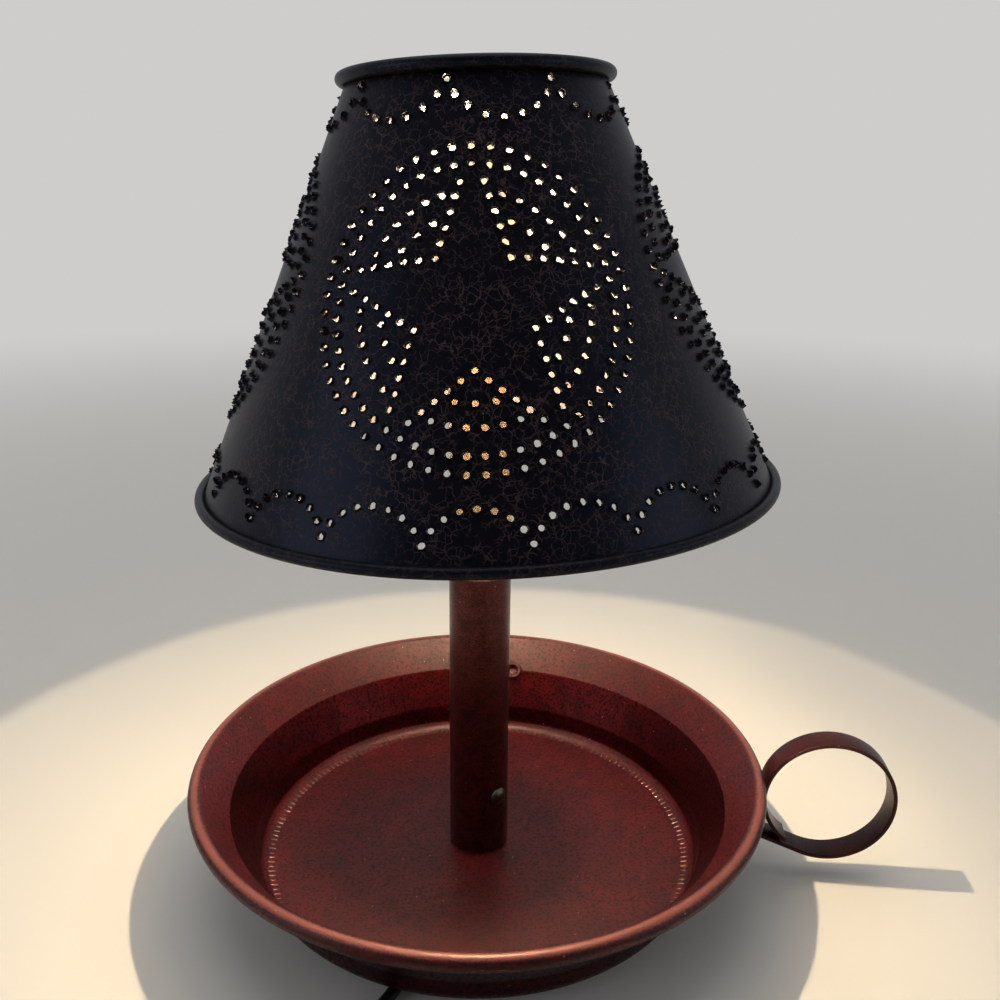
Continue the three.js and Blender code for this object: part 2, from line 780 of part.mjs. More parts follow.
function shade(parent) {
  const leaned = new THREE.Group();
  leaned.position.set(pinX, 0, pinZ);
  leaned.rotation.y = -shadeLean;
  parent.add(leaned);

  piece(leaned, 'shade', punchedCone(), 'shade');

  const barTop = shadeOverPin - 0.8;
  const barZ = barTop - barSheet / 2;
  const barReach = 2 * (crown.r - crownHem - 2 * gap);
  const earGap = saddleLength / 2 + gap;
  const earDrop = barTop - barSheet + 2.4;
  const bar = block(barWidth, barReach, barSheet, 0, 0, barZ);
  const ears = [-1, 1].map((side) => block(
    5,
    barSheet,
    earDrop + 0.2,
    0,
    side * (earGap + barSheet / 2),
    barTop - barSheet - earDrop / 2 + 0.1,
  ));
  const pinReach = earGap + barSheet + gap;
  const pinLine = (reach) => [new THREE.Vector3(0, -reach, 0), new THREE.Vector3(0, reach, 0)];
  piece(leaned, 'shade_crossbar', cut(join(bar, ears), [rod(pinRadius + gap, ...pinLine(pinReach), 10)]), 'steel');

  const pinHead = (side) => rod(
    pinRadius + 0.9,
    new THREE.Vector3(0, side * pinReach, 0),
    new THREE.Vector3(0, side * (pinReach + 0.9), 0),
    10,
  );
  const pin = join(rod(pinRadius, ...pinLine(pinReach + 0.1), 10), [pinHead(-1), pinHead(1)]);
  piece(leaned, 'pivot_pin', pin, 'steel');
}

// Cord: the points of each free stretch, from the tube's axis, as it lies on the table

const cordExit = new THREE.Vector2(-27, -73.6);
const switchPlace = { x: -58, y: -128, turn: THREE.MathUtils.degToRad(241) };
const coilPlace = { x: 15, y: -165, start: THREE.MathUtils.degToRad(-90) };
const plugPlace = { x: 78, y: -186, turn: THREE.MathUtils.degToRad(18) };

const switchSize = { length: 48, width: 21, height: 14, wheel: 8.5, wheelHeight: 5, offset: 4.6 };
const plugSize = { length: 24, width: 21, height: 11, neck: 12 };

const heading = (turn) => new THREE.Vector3(Math.cos(turn), Math.sin(turn), 0);

function layOut(points) {
  return points.map(([x, y, z]) => new THREE.Vector3(x, y, z));
}

const middleOfSwitch = switchSize.height / 2;
const middleOfPlug = plugSize.height / 2 + cordLift;

function underTray() {
  const out = new THREE.Vector3(cordExit.x, cordExit.y, 0).normalize();
  const across = (distance, z) => out.clone().multiplyScalar(distance).setZ(z);
  const turnZ = cordLine + cordBend;
  const bend = [0, 0.25, 0.5, 0.75, 1].map((s) => {
    const a = (s * Math.PI) / 2;
    return across(cordBend * (1 - Math.cos(a)) - cordSlack, turnZ - cordBend * Math.sin(a));
  });
  return [across(0, jacketEnd), across(-cordSlack / 2, (jacketEnd + turnZ) / 2), ...bend];
}

const switchTo = heading(switchPlace.turn);
const switchCentre = new THREE.Vector3(switchPlace.x, switchPlace.y, middleOfSwitch);
const atSwitch = (distance) => switchCentre.clone().addScaledVector(switchTo, distance);
const plugTo = heading(plugPlace.turn);
const plugCentre = new THREE.Vector3(plugPlace.x, plugPlace.y, middleOfPlug);
const atPlug = (distance) => plugCentre.clone().addScaledVector(plugTo, distance);

// The coil winds in on the table, climbs a layer in the half-turn where it reverses, and winds out again
function coilPoints() {
  const outer = coilRadius + (coilTurns / 2) * coilPitch;
  const count = Math.round(2 * coilTurns * coilSteps);
  const points = Array.from({ length: count + 1 }, (_, i) => {
    const turns = i / coilSteps;
    const r = outer - Math.min(turns, 2 * coilTurns - turns) * coilPitch;
    const climb = THREE.MathUtils.clamp(2 * (turns - coilTurns) + 0.5, 0, 1);
    const a = coilPlace.start + 2 * Math.PI * turns;
    return new THREE.Vector3(
      coilPlace.x + r * Math.cos(a),
      coilPlace.y + r * Math.sin(a),
      cordLine + coilPitch * climb,
    );
  });
  const straightEnd = (tip, next) => tip.clone().add(
    tip.clone().sub(next).setZ(0).normalize().multiplyScalar(2 * cordRadius),
  );
  return [straightEnd(points[0], points[1]), ...points, straightEnd(points[count], points[count - 1])];
}

function leastSelfGap(points, diameter) {
  let least = Infinity;
  for (let i = 0; i < points.length; i++) {
    for (let j = i + coilSteps / 2; j < points.length; j++) {
      least = Math.min(least, points[i].distanceTo(points[j]) - diameter);
    }
  }
  return least;
}

// A tube through points, with rings kept upright so that it doesn't twist
function woundTube(points, radius, sides) {
  const positions = [];
  const index = [];
  points.forEach((point, i) => {
    const along = points[Math.min(i + 1, points.length - 1)].clone().sub(points[Math.max(i - 1, 0)]).normalize();
    const across = new THREE.Vector3(0, 0, 1).cross(along).normalize();
    const up = along.clone().cross(across);
    for (let k = 0; k < sides; k++) {
      const a = (2 * Math.PI * (k + 0.5)) / sides;
      const rim = point.clone()
        .addScaledVector(across, radius * Math.cos(a))
        .addScaledVector(up, radius * Math.sin(a));
      positions.push(...rim.toArray());
      const next = (k + 1) % sides;
      const [a0, a1] = [i * sides + k, i * sides + next];
      if (i < points.length - 1) index.push(a0, a0 + sides, a1, a1, a0 + sides, a1 + sides);
    }
  });
  const last = (points.length - 1) * sides;
  for (let k = 1; k < sides - 1; k++) {
    index.push(0, k, k + 1);
    index.push(last, last + k + 1, last + k);
  }
  const geometry = new THREE.BufferGeometry();
  geometry.setAttribute('position', new THREE.Float32BufferAttribute(positions, 3));
  geometry.setIndex(index);
  return geometry;
}

function cord(parent) {
  const turns = coilPoints();
  const [coilIn, coilOut] = [turns[0], turns[turns.length - 1]];
  const inward = turns[1].clone().sub(coilIn).normalize();
  const outward = coilOut.clone().sub(turns[turns.length - 2]).normalize();
  console.log(`coil: least gap to itself ${leastSelfGap(turns, 2 * cordRadius).toFixed(2)} mm`);

  const toSwitch = [
    ...underTray(),
    ...layOut([
      [-12, -32.7, cordLine],
      [-20, -54.5, cordLine],
      [cordExit.x, cordExit.y, cordLine],
      [-31.6, -82, cordLine + 0.3],
    ]),
    atSwitch(-switchSize.length / 2 - 8),
    atSwitch(-switchSize.length / 2 - gap),
  ];
  piece(parent, 'cord_to_switch', wire(toSwitch, cordRadius, 36, cordSides), 'vinyl');

  const toCoil = [
    atSwitch(switchSize.length / 2 + gap),
    atSwitch(switchSize.length / 2 + 8),
    ...layOut([
      [-79, -170, cordLine + 1.6],
      [-76, -185, cordLine + 0.2],
      [-62, -197, cordLine],
      [-40, -201, cordLine],
      [-16, -199.6, cordLine],
    ]),
    coilIn.clone().addScaledVector(inward, -10),
    coilIn.clone().addScaledVector(inward, -gap),
  ];
  piece(parent, 'cord_to_coil', wire(toCoil, cordRadius, 20, cordSides), 'vinyl');

  piece(parent, 'cord_coil', woundTube(turns, cordRadius, cordSides), 'vinyl');

  const plugTail = -plugSize.length / 2 - plugSize.neck;
  const toPlug = [
    coilOut.clone().addScaledVector(outward, gap),
    coilOut.clone().addScaledVector(outward, 7),
    ...layOut([[36, -198, cordLine + 4]]),
    atPlug(plugTail - 6),
    atPlug(plugTail - gap),
  ];
  piece(parent, 'cord_to_plug', wire(toPlug, cordRadius, 8, cordSides), 'vinyl');
}

// In-line switch: two shells with a thumbwheel between them

function switchShape(inset) {
  const { length, width } = switchSize;
  const half = width / 2 - inset;
  const run = length / 2 - width / 2;
  const points = [
    ...arc(run, 0, half, -Math.PI / 2, Math.PI / 2, 6),
    ...arc(-run, 0, half, Math.PI / 2, (3 * Math.PI) / 2, 6),
  ];
  return flatShape(points);
}

function lineSwitch(parent) {
  const unit = new THREE.Group();
  unit.position.set(switchPlace.x, switchPlace.y, 0);
  unit.rotation.z = switchPlace.turn;
  parent.add(unit);

  const { height, wheel, wheelHeight, offset, length } = switchSize;
  const middle = height / 2;
  const pocket = rod(
    wheel + 2 * gap,
    new THREE.Vector3(0, offset, middle - wheelHeight / 2 - gap),
    new THREE.Vector3(0, offset, middle + wheelHeight / 2 + gap),
    24,
  );
  const screwAt = length / 2 - 9;
  const screwLine = (from, to) => [new THREE.Vector3(screwAt, 0, from), new THREE.Vector3(screwAt, 0, to)];
  const shell = (low, high) => new THREE.ExtrudeGeometry(switchShape(1), {
    depth: high - low - 2,
    bevelThickness: 1,
    bevelSize: 1,
    bevelSegments: 1,
  }).translate(0, 0, low + 1);
  const screwHole = rod(1.3, ...screwLine(2, middle + 5), 8);
  const sink = rod(2.9, ...screwLine(-1, 2.3), 10);
  piece(unit, 'switch_shell_bottom', cut(shell(cordLift, middle - gap / 2), [pocket, screwHole, sink]), 'phenolic');
  piece(unit, 'switch_shell_top', cut(shell(middle + gap / 2, height), [pocket, screwHole]), 'phenolic');

  const lobes = 14;
  const knurl = Array.from({ length: 2 * lobes }, (_, i) => {
    const a = (Math.PI * i) / lobes;
    const r = i % 2 ? wheel - 0.7 : wheel;
    return [r * Math.cos(a), r * Math.sin(a)];
  });
  const thumbwheel = new THREE.ExtrudeGeometry(flatShape(knurl), { depth: wheelHeight, bevelEnabled: false })
    .translate(0, offset, middle - wheelHeight / 2);
  piece(unit, 'switch_wheel', thumbwheel, 'phenolic');

  const screw = join(rod(1, ...screwLine(1.2, middle + 4), 8), [rod(2.4, ...screwLine(0.5, 1.9), 10)]);
  piece(unit, 'switch_screw', screw, 'brass');
}

// Two-pin plug

function plug(parent) {
  const unit = new THREE.Group();
  unit.position.copy(plugCentre);
  unit.rotation.z = plugPlace.turn;
  parent.add(unit);

  const { length, width, height, neck } = plugSize;
  const front = length / 2;
  const body = flatShape([
    [-front, -5],
    [-front + 5, -width / 2 + 1.5],
    [-front + 9, -width / 2],
    [front - 3, -width / 2],
    [front, -width / 2 + 2],
    [front, width / 2 - 2],
    [front - 3, width / 2],
    [-front + 9, width / 2],
    [-front + 5, width / 2 - 1.5],
    [-front, 5],
  ]);
  const bevel = 1.5;
  const core = new THREE.ExtrudeGeometry(body, {
    depth: height - 2 * bevel,
    bevelThickness: bevel,
    bevelSize: bevel,
    bevelOffset: -bevel,
    bevelSegments: 1,
  }).translate(0, 0, -height / 2 + bevel);
  const relief = turned([
    [0, -neck],
    [3.1, -neck],
    [3.3, -neck * 0.5],
    [4.2, 0],
    [4.2, 2],
    [0, 2],
  ], 12).rotateY(Math.PI / 2).translate(-front, 0, 0);
  const bladeGap = 12.7;
  const blades = [
    { name: 'plug_blade_line', y: -bladeGap / 2, height: 6.35 },
    { name: 'plug_blade_neutral', y: bladeGap / 2, height: 7.9 },
  ];
  const rootDepth = 6;
  const bladeLength = 0.7 * inch;
  const slots = blades.map((blade) => block(
    2 * rootDepth,
    1.5 + 2 * gap,
    blade.height + 2 * gap,
    front,
    blade.y,
    0,
  ));
  piece(unit, 'plug_body', cut(join(core, [relief]), slots), 'phenolic');
  for (const blade of blades) {
    const reach = rootDepth - gap + bladeLength;
    const flat = block(reach, 1.5, blade.height, front - rootDepth + gap + reach / 2, blade.y, 0);
    const eye = rod(
      1.6,
      new THREE.Vector3(front + bladeLength - 4.5, blade.y - 2, 0),
      new THREE.Vector3(front + bladeLength - 4.5, blade.y + 2, 0),
      8,
    );
    piece(unit, blade.name, cut(flat, [eye]), 'brass');
  }
}

const lamp = new THREE.Group();
lamp.name = 'chamberstick_lamp';
lamp.position.x = axisX;
for (const build of [tray, handle, stem, socket, leads, bulb, clip, shade, cord, lineSwitch, plug]) build(lamp);

export default lamp;
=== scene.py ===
"""Looks of an electric chamberstick lamp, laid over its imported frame.

A spun tray with a ring handle carries a candle tube, and the tube's top a small socket and bulb. A wire
clip sits on the bulb, and a punched tin shade tilts on it. Sizes are in millimetres. Heights count from
the table and radii from the tube's axis, and the meshes are in metres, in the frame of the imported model.
"""

import logging
from dataclasses import dataclass, field
from enum import Enum
from math import acos, asin, atan2, cos, exp, hypot, pi, radians, sin, tan, tau
from typing import Any, Callable, Iterable, Sequence

import bpy
from mathutils import Matrix, Vector


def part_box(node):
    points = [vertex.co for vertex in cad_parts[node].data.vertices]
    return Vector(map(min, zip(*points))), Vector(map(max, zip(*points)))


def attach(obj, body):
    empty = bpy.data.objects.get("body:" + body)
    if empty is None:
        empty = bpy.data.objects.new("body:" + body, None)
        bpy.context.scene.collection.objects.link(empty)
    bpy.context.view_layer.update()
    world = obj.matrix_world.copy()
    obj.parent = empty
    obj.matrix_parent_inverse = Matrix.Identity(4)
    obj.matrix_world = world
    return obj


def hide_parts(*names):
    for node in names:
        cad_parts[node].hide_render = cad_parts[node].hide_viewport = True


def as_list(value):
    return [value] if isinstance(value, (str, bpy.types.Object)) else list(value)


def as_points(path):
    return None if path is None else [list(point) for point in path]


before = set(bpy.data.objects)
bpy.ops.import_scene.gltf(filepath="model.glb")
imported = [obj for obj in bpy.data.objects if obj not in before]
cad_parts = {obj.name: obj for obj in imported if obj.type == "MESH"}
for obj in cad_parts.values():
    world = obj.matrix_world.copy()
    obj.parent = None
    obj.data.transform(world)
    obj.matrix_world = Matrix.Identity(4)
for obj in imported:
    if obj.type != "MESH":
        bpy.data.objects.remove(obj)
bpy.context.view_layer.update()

LOG = logging.getLogger("chamberstick")

MM = 0.001
GAP = 0.3  # clearance between pieces that seat on each other
AXIS = sum(corner.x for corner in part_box("candle_tube")) / (2 * MM)
ON_AXIS = Matrix.Translation((AXIS, 0, 0))

Outline = Sequence[Sequence[float]]
Points = list[tuple[float, float]]
Inset = Callable[[float], Points]
Colour = tuple[float, float, float, float]
Item = bpy.types.Object
Node = bpy.types.Node
Socket = bpy.types.NodeSocket


def srgb(red: int, green: int, blue: int) -> Colour:
    """A colour as it looks on screen, from 0 to 255, in the linear values that shaders take.

    Args:
        red: its red.
        green: its green.
        blue: its blue.

    Returns:
        The colour, fully opaque.
    """

    def linear(level: int) -> float:
        """One channel without its screen curve."""
        share = level / 255
        return share / 12.92 if share <= 0.04045 else ((share + 0.055) / 1.055) ** 2.4

    return (linear(red), linear(green), linear(blue), 1.0)


def shift(x: float, y: float, z: float) -> Matrix:
    """The matrix of a move."""
    return Matrix.Translation((x, y, z))


def rotate(axis: str, angle: float) -> Matrix:
    """The matrix of a turn about an axis."""
    return Matrix.Rotation(angle, 4, axis)


def in_metres(matrix: Matrix) -> Matrix:
    """A matrix of millimetres, for a mesh in metres."""
    return Matrix.Scale(MM, 4) @ matrix @ Matrix.Scale(1 / MM, 4)


def into_scene(name: str, data: bpy.types.ID) -> Item:
    """An object with the given data, linked to the scene.

    Args:
        name: the object's name.
        data: its mesh, light or camera.

    Returns:
        The object.
    """
    item = bpy.data.objects.new(name, data)
    bpy.context.scene.collection.objects.link(item)
    return item


# Node trees


class Graph:
    """A node tree, with one way to add a node to it."""

    def __init__(self, tree: bpy.types.NodeTree) -> None:
        """Wraps a tree."""
        self.tree = tree

    @staticmethod
    def pick(sockets: Any, key: int | str) -> Socket:
        """Finds a socket by its place, its identifier or its name.

        Args:
            sockets: a node's inputs or outputs.
            key: which one.

        Returns:
            The socket.
        """
        if isinstance(key, int):
            return sockets[key]
        return next((s for s in sockets if s.identifier == key), None) or sockets[key]

    def feed(self, socket: Socket, value: Any) -> None:
        """Links a socket to a level, node or socket, or sets it to a plain value.

        Args:
            socket: what is fed.
            value: what it is fed with.
        """
        if isinstance(value, Level):
            value = value.socket
        if isinstance(value, Node):
            value = value.outputs[0]
        if isinstance(value, Socket):
            self.tree.links.new(value, socket)
        else:
            socket.default_value = value

    def node(self, kind: str, settings: dict | None = None, inputs: dict | None = None) -> Node:
        """Adds a node of a kind, with its own properties set first and then its sockets fed.

        Args:
            kind: the node's type.
            settings: its own properties, set first.
            inputs: values or links for its sockets.

        Returns:
            The node.
        """
        made = self.tree.nodes.new(kind)
        for name, value in (settings or {}).items():
            setattr(made, name, value)
        for key, value in (inputs or {}).items():
            self.feed(self.pick(made.inputs, key), value)
        return made


class Level:
    """A number in a shader tree. Arithmetic on it adds Math nodes."""

    def __init__(self, graph: Graph, source: Node | Socket) -> None:
        """Wraps a socket of a graph, or a node's first output."""
        self.graph = graph
        self.socket = source.outputs[0] if isinstance(source, Node) else source

    def _math(self, operation: str, *terms: "Level | float") -> "Level":
        """One Math node."""
        inputs = dict(enumerate(terms))
        return Level(self.graph, self.graph.node("ShaderNodeMath", {"operation": operation}, inputs))

    def __add__(self, other: "Level | float") -> "Level":
        """The sum."""
        return self._math("ADD", self, other)

    __radd__ = __add__

    def __sub__(self, other: "Level | float") -> "Level":
        """The difference."""
        return self._math("SUBTRACT", self, other)

    def __rsub__(self, other: "Level | float") -> "Level":
        """The difference, from a number."""
        return self._math("SUBTRACT", other, self)

    def __mul__(self, other: "Level | float") -> "Level":
        """The product."""
        return self._math("MULTIPLY", self, other)

    __rmul__ = __mul__

    def most(self, other: "Level | float") -> "Level":
        """The larger of two."""
        return self._math("MAXIMUM", self, other)


class Surface(Graph):
    """The node tree of one material, with the textures that the finishes share."""

    def __init__(self, name: str) -> None:
        """Starts an empty material that is laid out on Object coordinates.

        Args:
            name: the material's name.
        """
        self.material = bpy.data.materials.new(name)
        self.material.use_nodes = True
        super().__init__(self.material.node_tree)
        self.tree.nodes.clear()
        self.place = self.node("ShaderNodeTexCoord").outputs["Object"]

    def noise(self, scale: float, detail: float = 2.0, place: Any = None) -> Level:
        """Soft noise around 0.5, with so many grains to a metre."""
        return Level(self, self.node("ShaderNodeTexNoise", {"normalize": True}, {
            "Vector": place or self.place, "Scale": scale, "Detail": detail, "Roughness": 0.55,
        }))

    def cells(self, scale: float, feature: str, place: Any = None) -> Level:
        """Distances in a field of cells, with so many cells to a metre."""
        node = self.node("ShaderNodeTexVoronoi", {"feature": feature}, {
            "Vector": place or self.place, "Scale": scale, "Randomness": 1.0,
        })
        return Level(self, node.outputs["Distance"])

    def shifted(self, scale: float, amount: float) -> Socket:
        """Object coordinates pushed about by noise, by up to half the amount in metres."""
        noise = self.node("ShaderNodeTexNoise", None, {"Vector": self.place, "Scale": scale, "Detail": 2.0})
        return self.node("ShaderNodeVectorMath", {"operation": "MULTIPLY_ADD"}, {
            0: noise.outputs["Color"], 1: (amount,) * 3, 2: self.place,
        }).outputs[0]

    def stretched(self, scale: Sequence[float]) -> Socket:
        """Object coordinates scaled by axis, for streaks."""
        return self.node("ShaderNodeMapping", None, {"Vector": self.place, "Scale": tuple(scale)}).outputs[0]

    def step(self, level: Level, low: float, high: float) -> Level:
        """Eases a level from 0 at low to 1 at high."""
        return Level(self, self.node(
            "ShaderNodeMapRange", {"interpolation_type": "SMOOTHSTEP", "clamp": True},
            {"Value": level, "From Min": low, "From Max": high},
        ))

    def blend(self, share: Level | float, first: Any, second: Any) -> Socket:
        """Mixes two colours."""
        node = self.node("ShaderNodeMix", {"data_type": "RGBA", "clamp_factor": True}, {
            "Factor_Float": share, "A_Color": first, "B_Color": second,
        })
        return self.pick(node.outputs, "Result_Color")

    def painted(self, name: str) -> Level:
        """A share that is painted on a mesh's points, 0 where the mesh has none."""
        return Level(self, self.node("ShaderNodeAttribute", {"attribute_name": name}).outputs["Fac"])

    def bump(self, height: Level, depth: float) -> Socket:
        """A normal bent by a height from 0 to 1 that stands for so many metres."""
        inputs = {"Height": height, "Distance": depth, "Strength": 1.0}
        return self.node("ShaderNodeBump", None, inputs).outputs[0]

    def close(self, shader: dict) -> None:
        """Ends the tree in a Principled shader with the given sockets."""
        made = self.node("ShaderNodeBsdfPrincipled", None, shader)
        self.node("ShaderNodeOutputMaterial", None, {"Surface": made})


# Finishes


@dataclass(frozen=True)
class Finish:
    """What a surface is finished with.

    Attributes:
        name: the material's name.
        slot: the material slot of the record that it stands for.
    """

    name: str
    slot: str

    def material(self) -> bpy.types.Material:
        """The material, made when it is first asked for.

        Returns:
            The material.
        """
        if self.name not in bpy.data.materials:
            self.paint(Surface(self.name))
        return bpy.data.materials[self.name]

    def paint(self, surface: Surface) -> None:
        """Builds the material's nodes."""
        raise NotImplementedError


@dataclass(frozen=True)
class Enamel(Finish):
    """Satin enamel: cloudy colour, fine dark flecks, an orange-peel skin, worn edges and painted highlights.

    Below zero, the painted share turns it metallic, reflecting in its own colour and darker: painted shade.
    """

    base: Colour
    deep: Colour
    fleck: Colour
    rub_and_highlight: Colour
    clouds: float = 70
    flecks: float = 900
    fleck_share: float = 0.85
    peel: float = 800
    peel_depth: float = 0.00006
    roughness: float = 0.36
    metallic: float = 0.25
    gloss: float = 0.25
    coat: float = 0.1

    def paint(self, surface: Surface) -> None:
        """Builds the material's nodes.

        Args:
            surface: the material's node tree.
        """
        cloudy = surface.step(surface.noise(self.clouds, 4.0), 0.35, 0.68)
        colour = surface.blend(cloudy, self.base, self.deep)
        dark = surface.step(surface.noise(self.flecks, 3.0), 0.47, 0.62)
        colour = surface.blend(dark * self.fleck_share, colour, self.fleck)
        grain = surface.noise(1400)
        # a share above zero: wear and a painted highlight, in the paler colour
        wear_and_highlight = surface.step(surface.painted("rub") + grain * 0.35, 0.6, 0.98)
        colour = surface.blend(wear_and_highlight * 0.75, colour, self.rub_and_highlight)
        # a share below zero: painted shade, the enamel turning metallic so that it renders darker
        painted_wall_shade = 1 - surface.step(surface.painted("rub"), -0.8, -0.05)
        dust = 1 - surface.step(surface.cells(190, "F1"), 0.03, 0.06)
        colour = surface.blend(dust * 0.45, colour, srgb(168, 150, 140))
        peel = surface.noise(self.peel) + grain * 0.35
        surface.close({
            "Base Color": colour,
            "Roughness": self.roughness + dark * 0.12 - wear_and_highlight * 0.06,
            "Metallic": painted_wall_shade * (0.92 - self.metallic) + self.metallic,
            "Specular IOR Level": self.gloss,
            "Coat Weight": self.coat - dark * (self.coat * 0.7),
            "Coat Roughness": 0.22,
            "Normal": surface.bump(peel, self.peel_depth),
        })


@dataclass(frozen=True)
class Crackle(Finish):
    """Black paint that crazed over a red-brown ground."""

    black: Colour
    ground: Colour
    fine: float = 400
    coarse: float = 150
    line: float = 0.05
    roughness: float = 0.42

    def paint(self, surface: Surface) -> None:
        """Builds the material's nodes.

        Args:
            surface: the material's node tree.
        """
        place = surface.shifted(560, 0.002)
        fine = 1 - surface.step(surface.cells(self.fine, "DISTANCE_TO_EDGE", place), 0.01, self.line)
        coarse = surface.cells(self.coarse, "DISTANCE_TO_EDGE", place)
        coarse = 1 - surface.step(coarse, 0.004, self.line * 0.5)
        kept = surface.step(surface.noise(60, 3.0), 0.3, 0.62)
        open_ends = surface.step(surface.noise(300, 1.0), 0.36, 0.5)
        smooth_rim = 1 - surface.painted("rub") * 1.6
        crack = (fine * (0.35 + kept * 0.45)).most(coarse * (0.2 + kept * 0.35)) * open_ends * smooth_rim
        smoky = surface.blend(surface.noise(26, 3.0), self.black, srgb(17, 11, 10))
        colour = surface.blend(crack, smoky, self.ground)
        swell = surface.noise(38, 1.0) * 1.6
        surface.close({
            "Base Color": colour,
            "Roughness": self.roughness + crack * 0.25,
            "Metallic": 0.0,
            "Coat Weight": 0.05 - crack * 0.04,
            "Coat Roughness": 0.2,
            "Specular IOR Level": 0.16,
            # a bluish specular tint: painted bluish reflection on the shade's sides
            "Specular Tint": srgb(150, 190, 255),
            "Normal": surface.bump(swell - crack * 0.8, 0.00006),
        })


@dataclass(frozen=True)
class PaleCoat(Finish):
    """The pale coat inside the shade, streaked along the sheet."""

    base: Colour
    stain: Colour

    def paint(self, surface: Surface) -> None:
        """Builds the material's nodes.

        Args:
            surface: the material's node tree.
        """
        streak = surface.noise(1.0, 3.0, surface.stretched((240, 240, 30)))
        colour = surface.blend(surface.step(streak, 0.45, 0.75) * 0.35, self.base, self.stain)
        surface.close({
            "Base Color": colour,
            "Roughness": 0.5 + streak * 0.2,
            "Metallic": 0.0,
            "Normal": surface.bump(streak, 0.00002),
        })


@dataclass(frozen=True)
class Metal(Finish):
    """Plain or plated metal with a cloudy tarnish and fine draw marks."""

    base: Colour
    tarnish: Colour
    roughness: float = 0.3
    marks: tuple[float, float, float] = (900, 900, 120)

    def paint(self, surface: Surface) -> None:
        """Builds the material's nodes.

        Args:
            surface: the material's node tree.
        """
        cloud = surface.step(surface.noise(130, 4.0), 0.42, 0.72)
        drawn = surface.noise(1.0, 3.0, surface.stretched(self.marks))
        surface.close({
            "Base Color": surface.blend(cloud * 0.6, self.base, self.tarnish),
            "Roughness": self.roughness + cloud * 0.18 + drawn * 0.08,
            "Metallic": 1.0 - cloud * 0.1,
            "Normal": surface.bump(drawn, 0.00002),
        })


@dataclass(frozen=True)
class Moulded(Finish):
    """Moulded plastic, rubber or vinyl, with a faint mottle and a fine matt grain."""

    base: Colour
    mottle: Colour
    roughness: float = 0.42
    grain: float = 1800
    grain_depth: float = 0.00002

    def paint(self, surface: Surface) -> None:
        """Builds the material's nodes.

        Args:
            surface: the material's node tree.
        """
        cloud = surface.step(surface.noise(210, 4.0), 0.4, 0.75)
        grain = surface.noise(self.grain)
        dust = surface.step(surface.noise(60, 3.0) + grain * 0.3, 0.72, 1.0)
        colour = surface.blend(cloud * 0.5, self.base, self.mottle)
        surface.close({
            "Base Color": surface.blend(dust * 0.12, colour, srgb(150, 146, 140)),
            "Roughness": self.roughness + grain * 0.12 + dust * 0.15,
            "Metallic": 0.0,
            "Normal": surface.bump(grain, self.grain_depth),
        })


@dataclass(frozen=True)
class ClearGlass(Finish):
    """Clear blown glass with a faint film of dust."""

    tint: Colour

    def paint(self, surface: Surface) -> None:
        """Builds the material's nodes.

        Args:
            surface: the material's node tree.
        """
        film = surface.step(surface.noise(140, 4.0), 0.5, 0.8)
        surface.close({
            "Base Color": surface.blend(film * 0.3, self.tint, srgb(236, 226, 208)),
            "Roughness": film * 0.08,
            "Transmission Weight": 1.0,
            "IOR": 1.45,
        })


@dataclass(frozen=True)
class Glow(Finish):
    """A hot filament, whitest along its middle."""

    hot: Colour
    cool: Colour
    strength: float = 260

    def paint(self, surface: Surface) -> None:
        """Builds the material's nodes.

        Args:
            surface: the material's node tree.
        """
        flicker = surface.noise(400)
        colour = surface.blend(flicker, self.hot, self.cool)
        surface.close({
            "Base Color": colour,
            "Roughness": 0.4,
            "Metallic": 0.6,
            "Emission Color": colour,
            "Emission Strength": self.strength,
        })


# the tray's paler colour: wear on the lip's crown and a painted highlight along it
TRAY_ENAMEL = Enamel(
    "tray_enamel", "tray_paint",
    base=srgb(68, 9, 11), deep=srgb(53, 7, 9), fleck=srgb(20, 5, 5), rub_and_highlight=srgb(124, 72, 64),
    clouds=110, roughness=0.4, metallic=0.15, gloss=0.26, coat=0.03,
)
# paler than the tray's enamel: worn crimp ridges with a painted highlight
CRIMP_ENAMEL = Enamel(
    "crimp_enamel", "tray_paint",
    base=srgb(98, 50, 44), deep=srgb(62, 24, 21), fleck=srgb(30, 10, 9), rub_and_highlight=srgb(160, 110, 92),
    roughness=0.34, metallic=0.3, gloss=0.4, coat=0.2,
)
STRAP_ENAMEL = Enamel(
    "strap_enamel", "strap_paint",
    base=srgb(56, 15, 13), deep=srgb(34, 11, 10), fleck=srgb(16, 6, 6), rub_and_highlight=srgb(90, 52, 44),
    fleck_share=0.5, clouds=110, flecks=1500, roughness=0.3, metallic=0.2, gloss=0.12, coat=0.08,
)
# the tube's paler colour is its pale top, above where the shade hides it
TUBE_ENAMEL = Enamel(
    "tube_enamel", "tube_paint",
    base=srgb(86, 34, 29), deep=srgb(64, 26, 22), fleck=srgb(22, 8, 7), rub_and_highlight=srgb(232, 196, 146),
    clouds=260, flecks=1500, fleck_share=0.65, peel=900, roughness=0.3, metallic=0.7, gloss=0.4,
)
SCREW_ENAMEL = Metal(
    "screw_enamel", "tube_paint", base=srgb(78, 84, 74), tarnish=srgb(50, 46, 40), roughness=0.36,
)
SHADE_CRACKLE = Crackle("shade_crackle", "shade_paint", black=srgb(9, 5, 5), ground=srgb(82, 61, 57))
BURR_PAINT = Crackle(
    "burr_paint", "shade_paint",
    black=srgb(10, 8, 8), ground=srgb(42, 29, 25), fine=900, coarse=420, line=0.12,
)
SHADE_LINING = PaleCoat("shade_lining", "shade_paint", base=srgb(158, 150, 152), stain=srgb(128, 118, 118))
STEEL = Metal("plated_steel", "steel", base=srgb(176, 176, 172), tarnish=srgb(112, 108, 102))
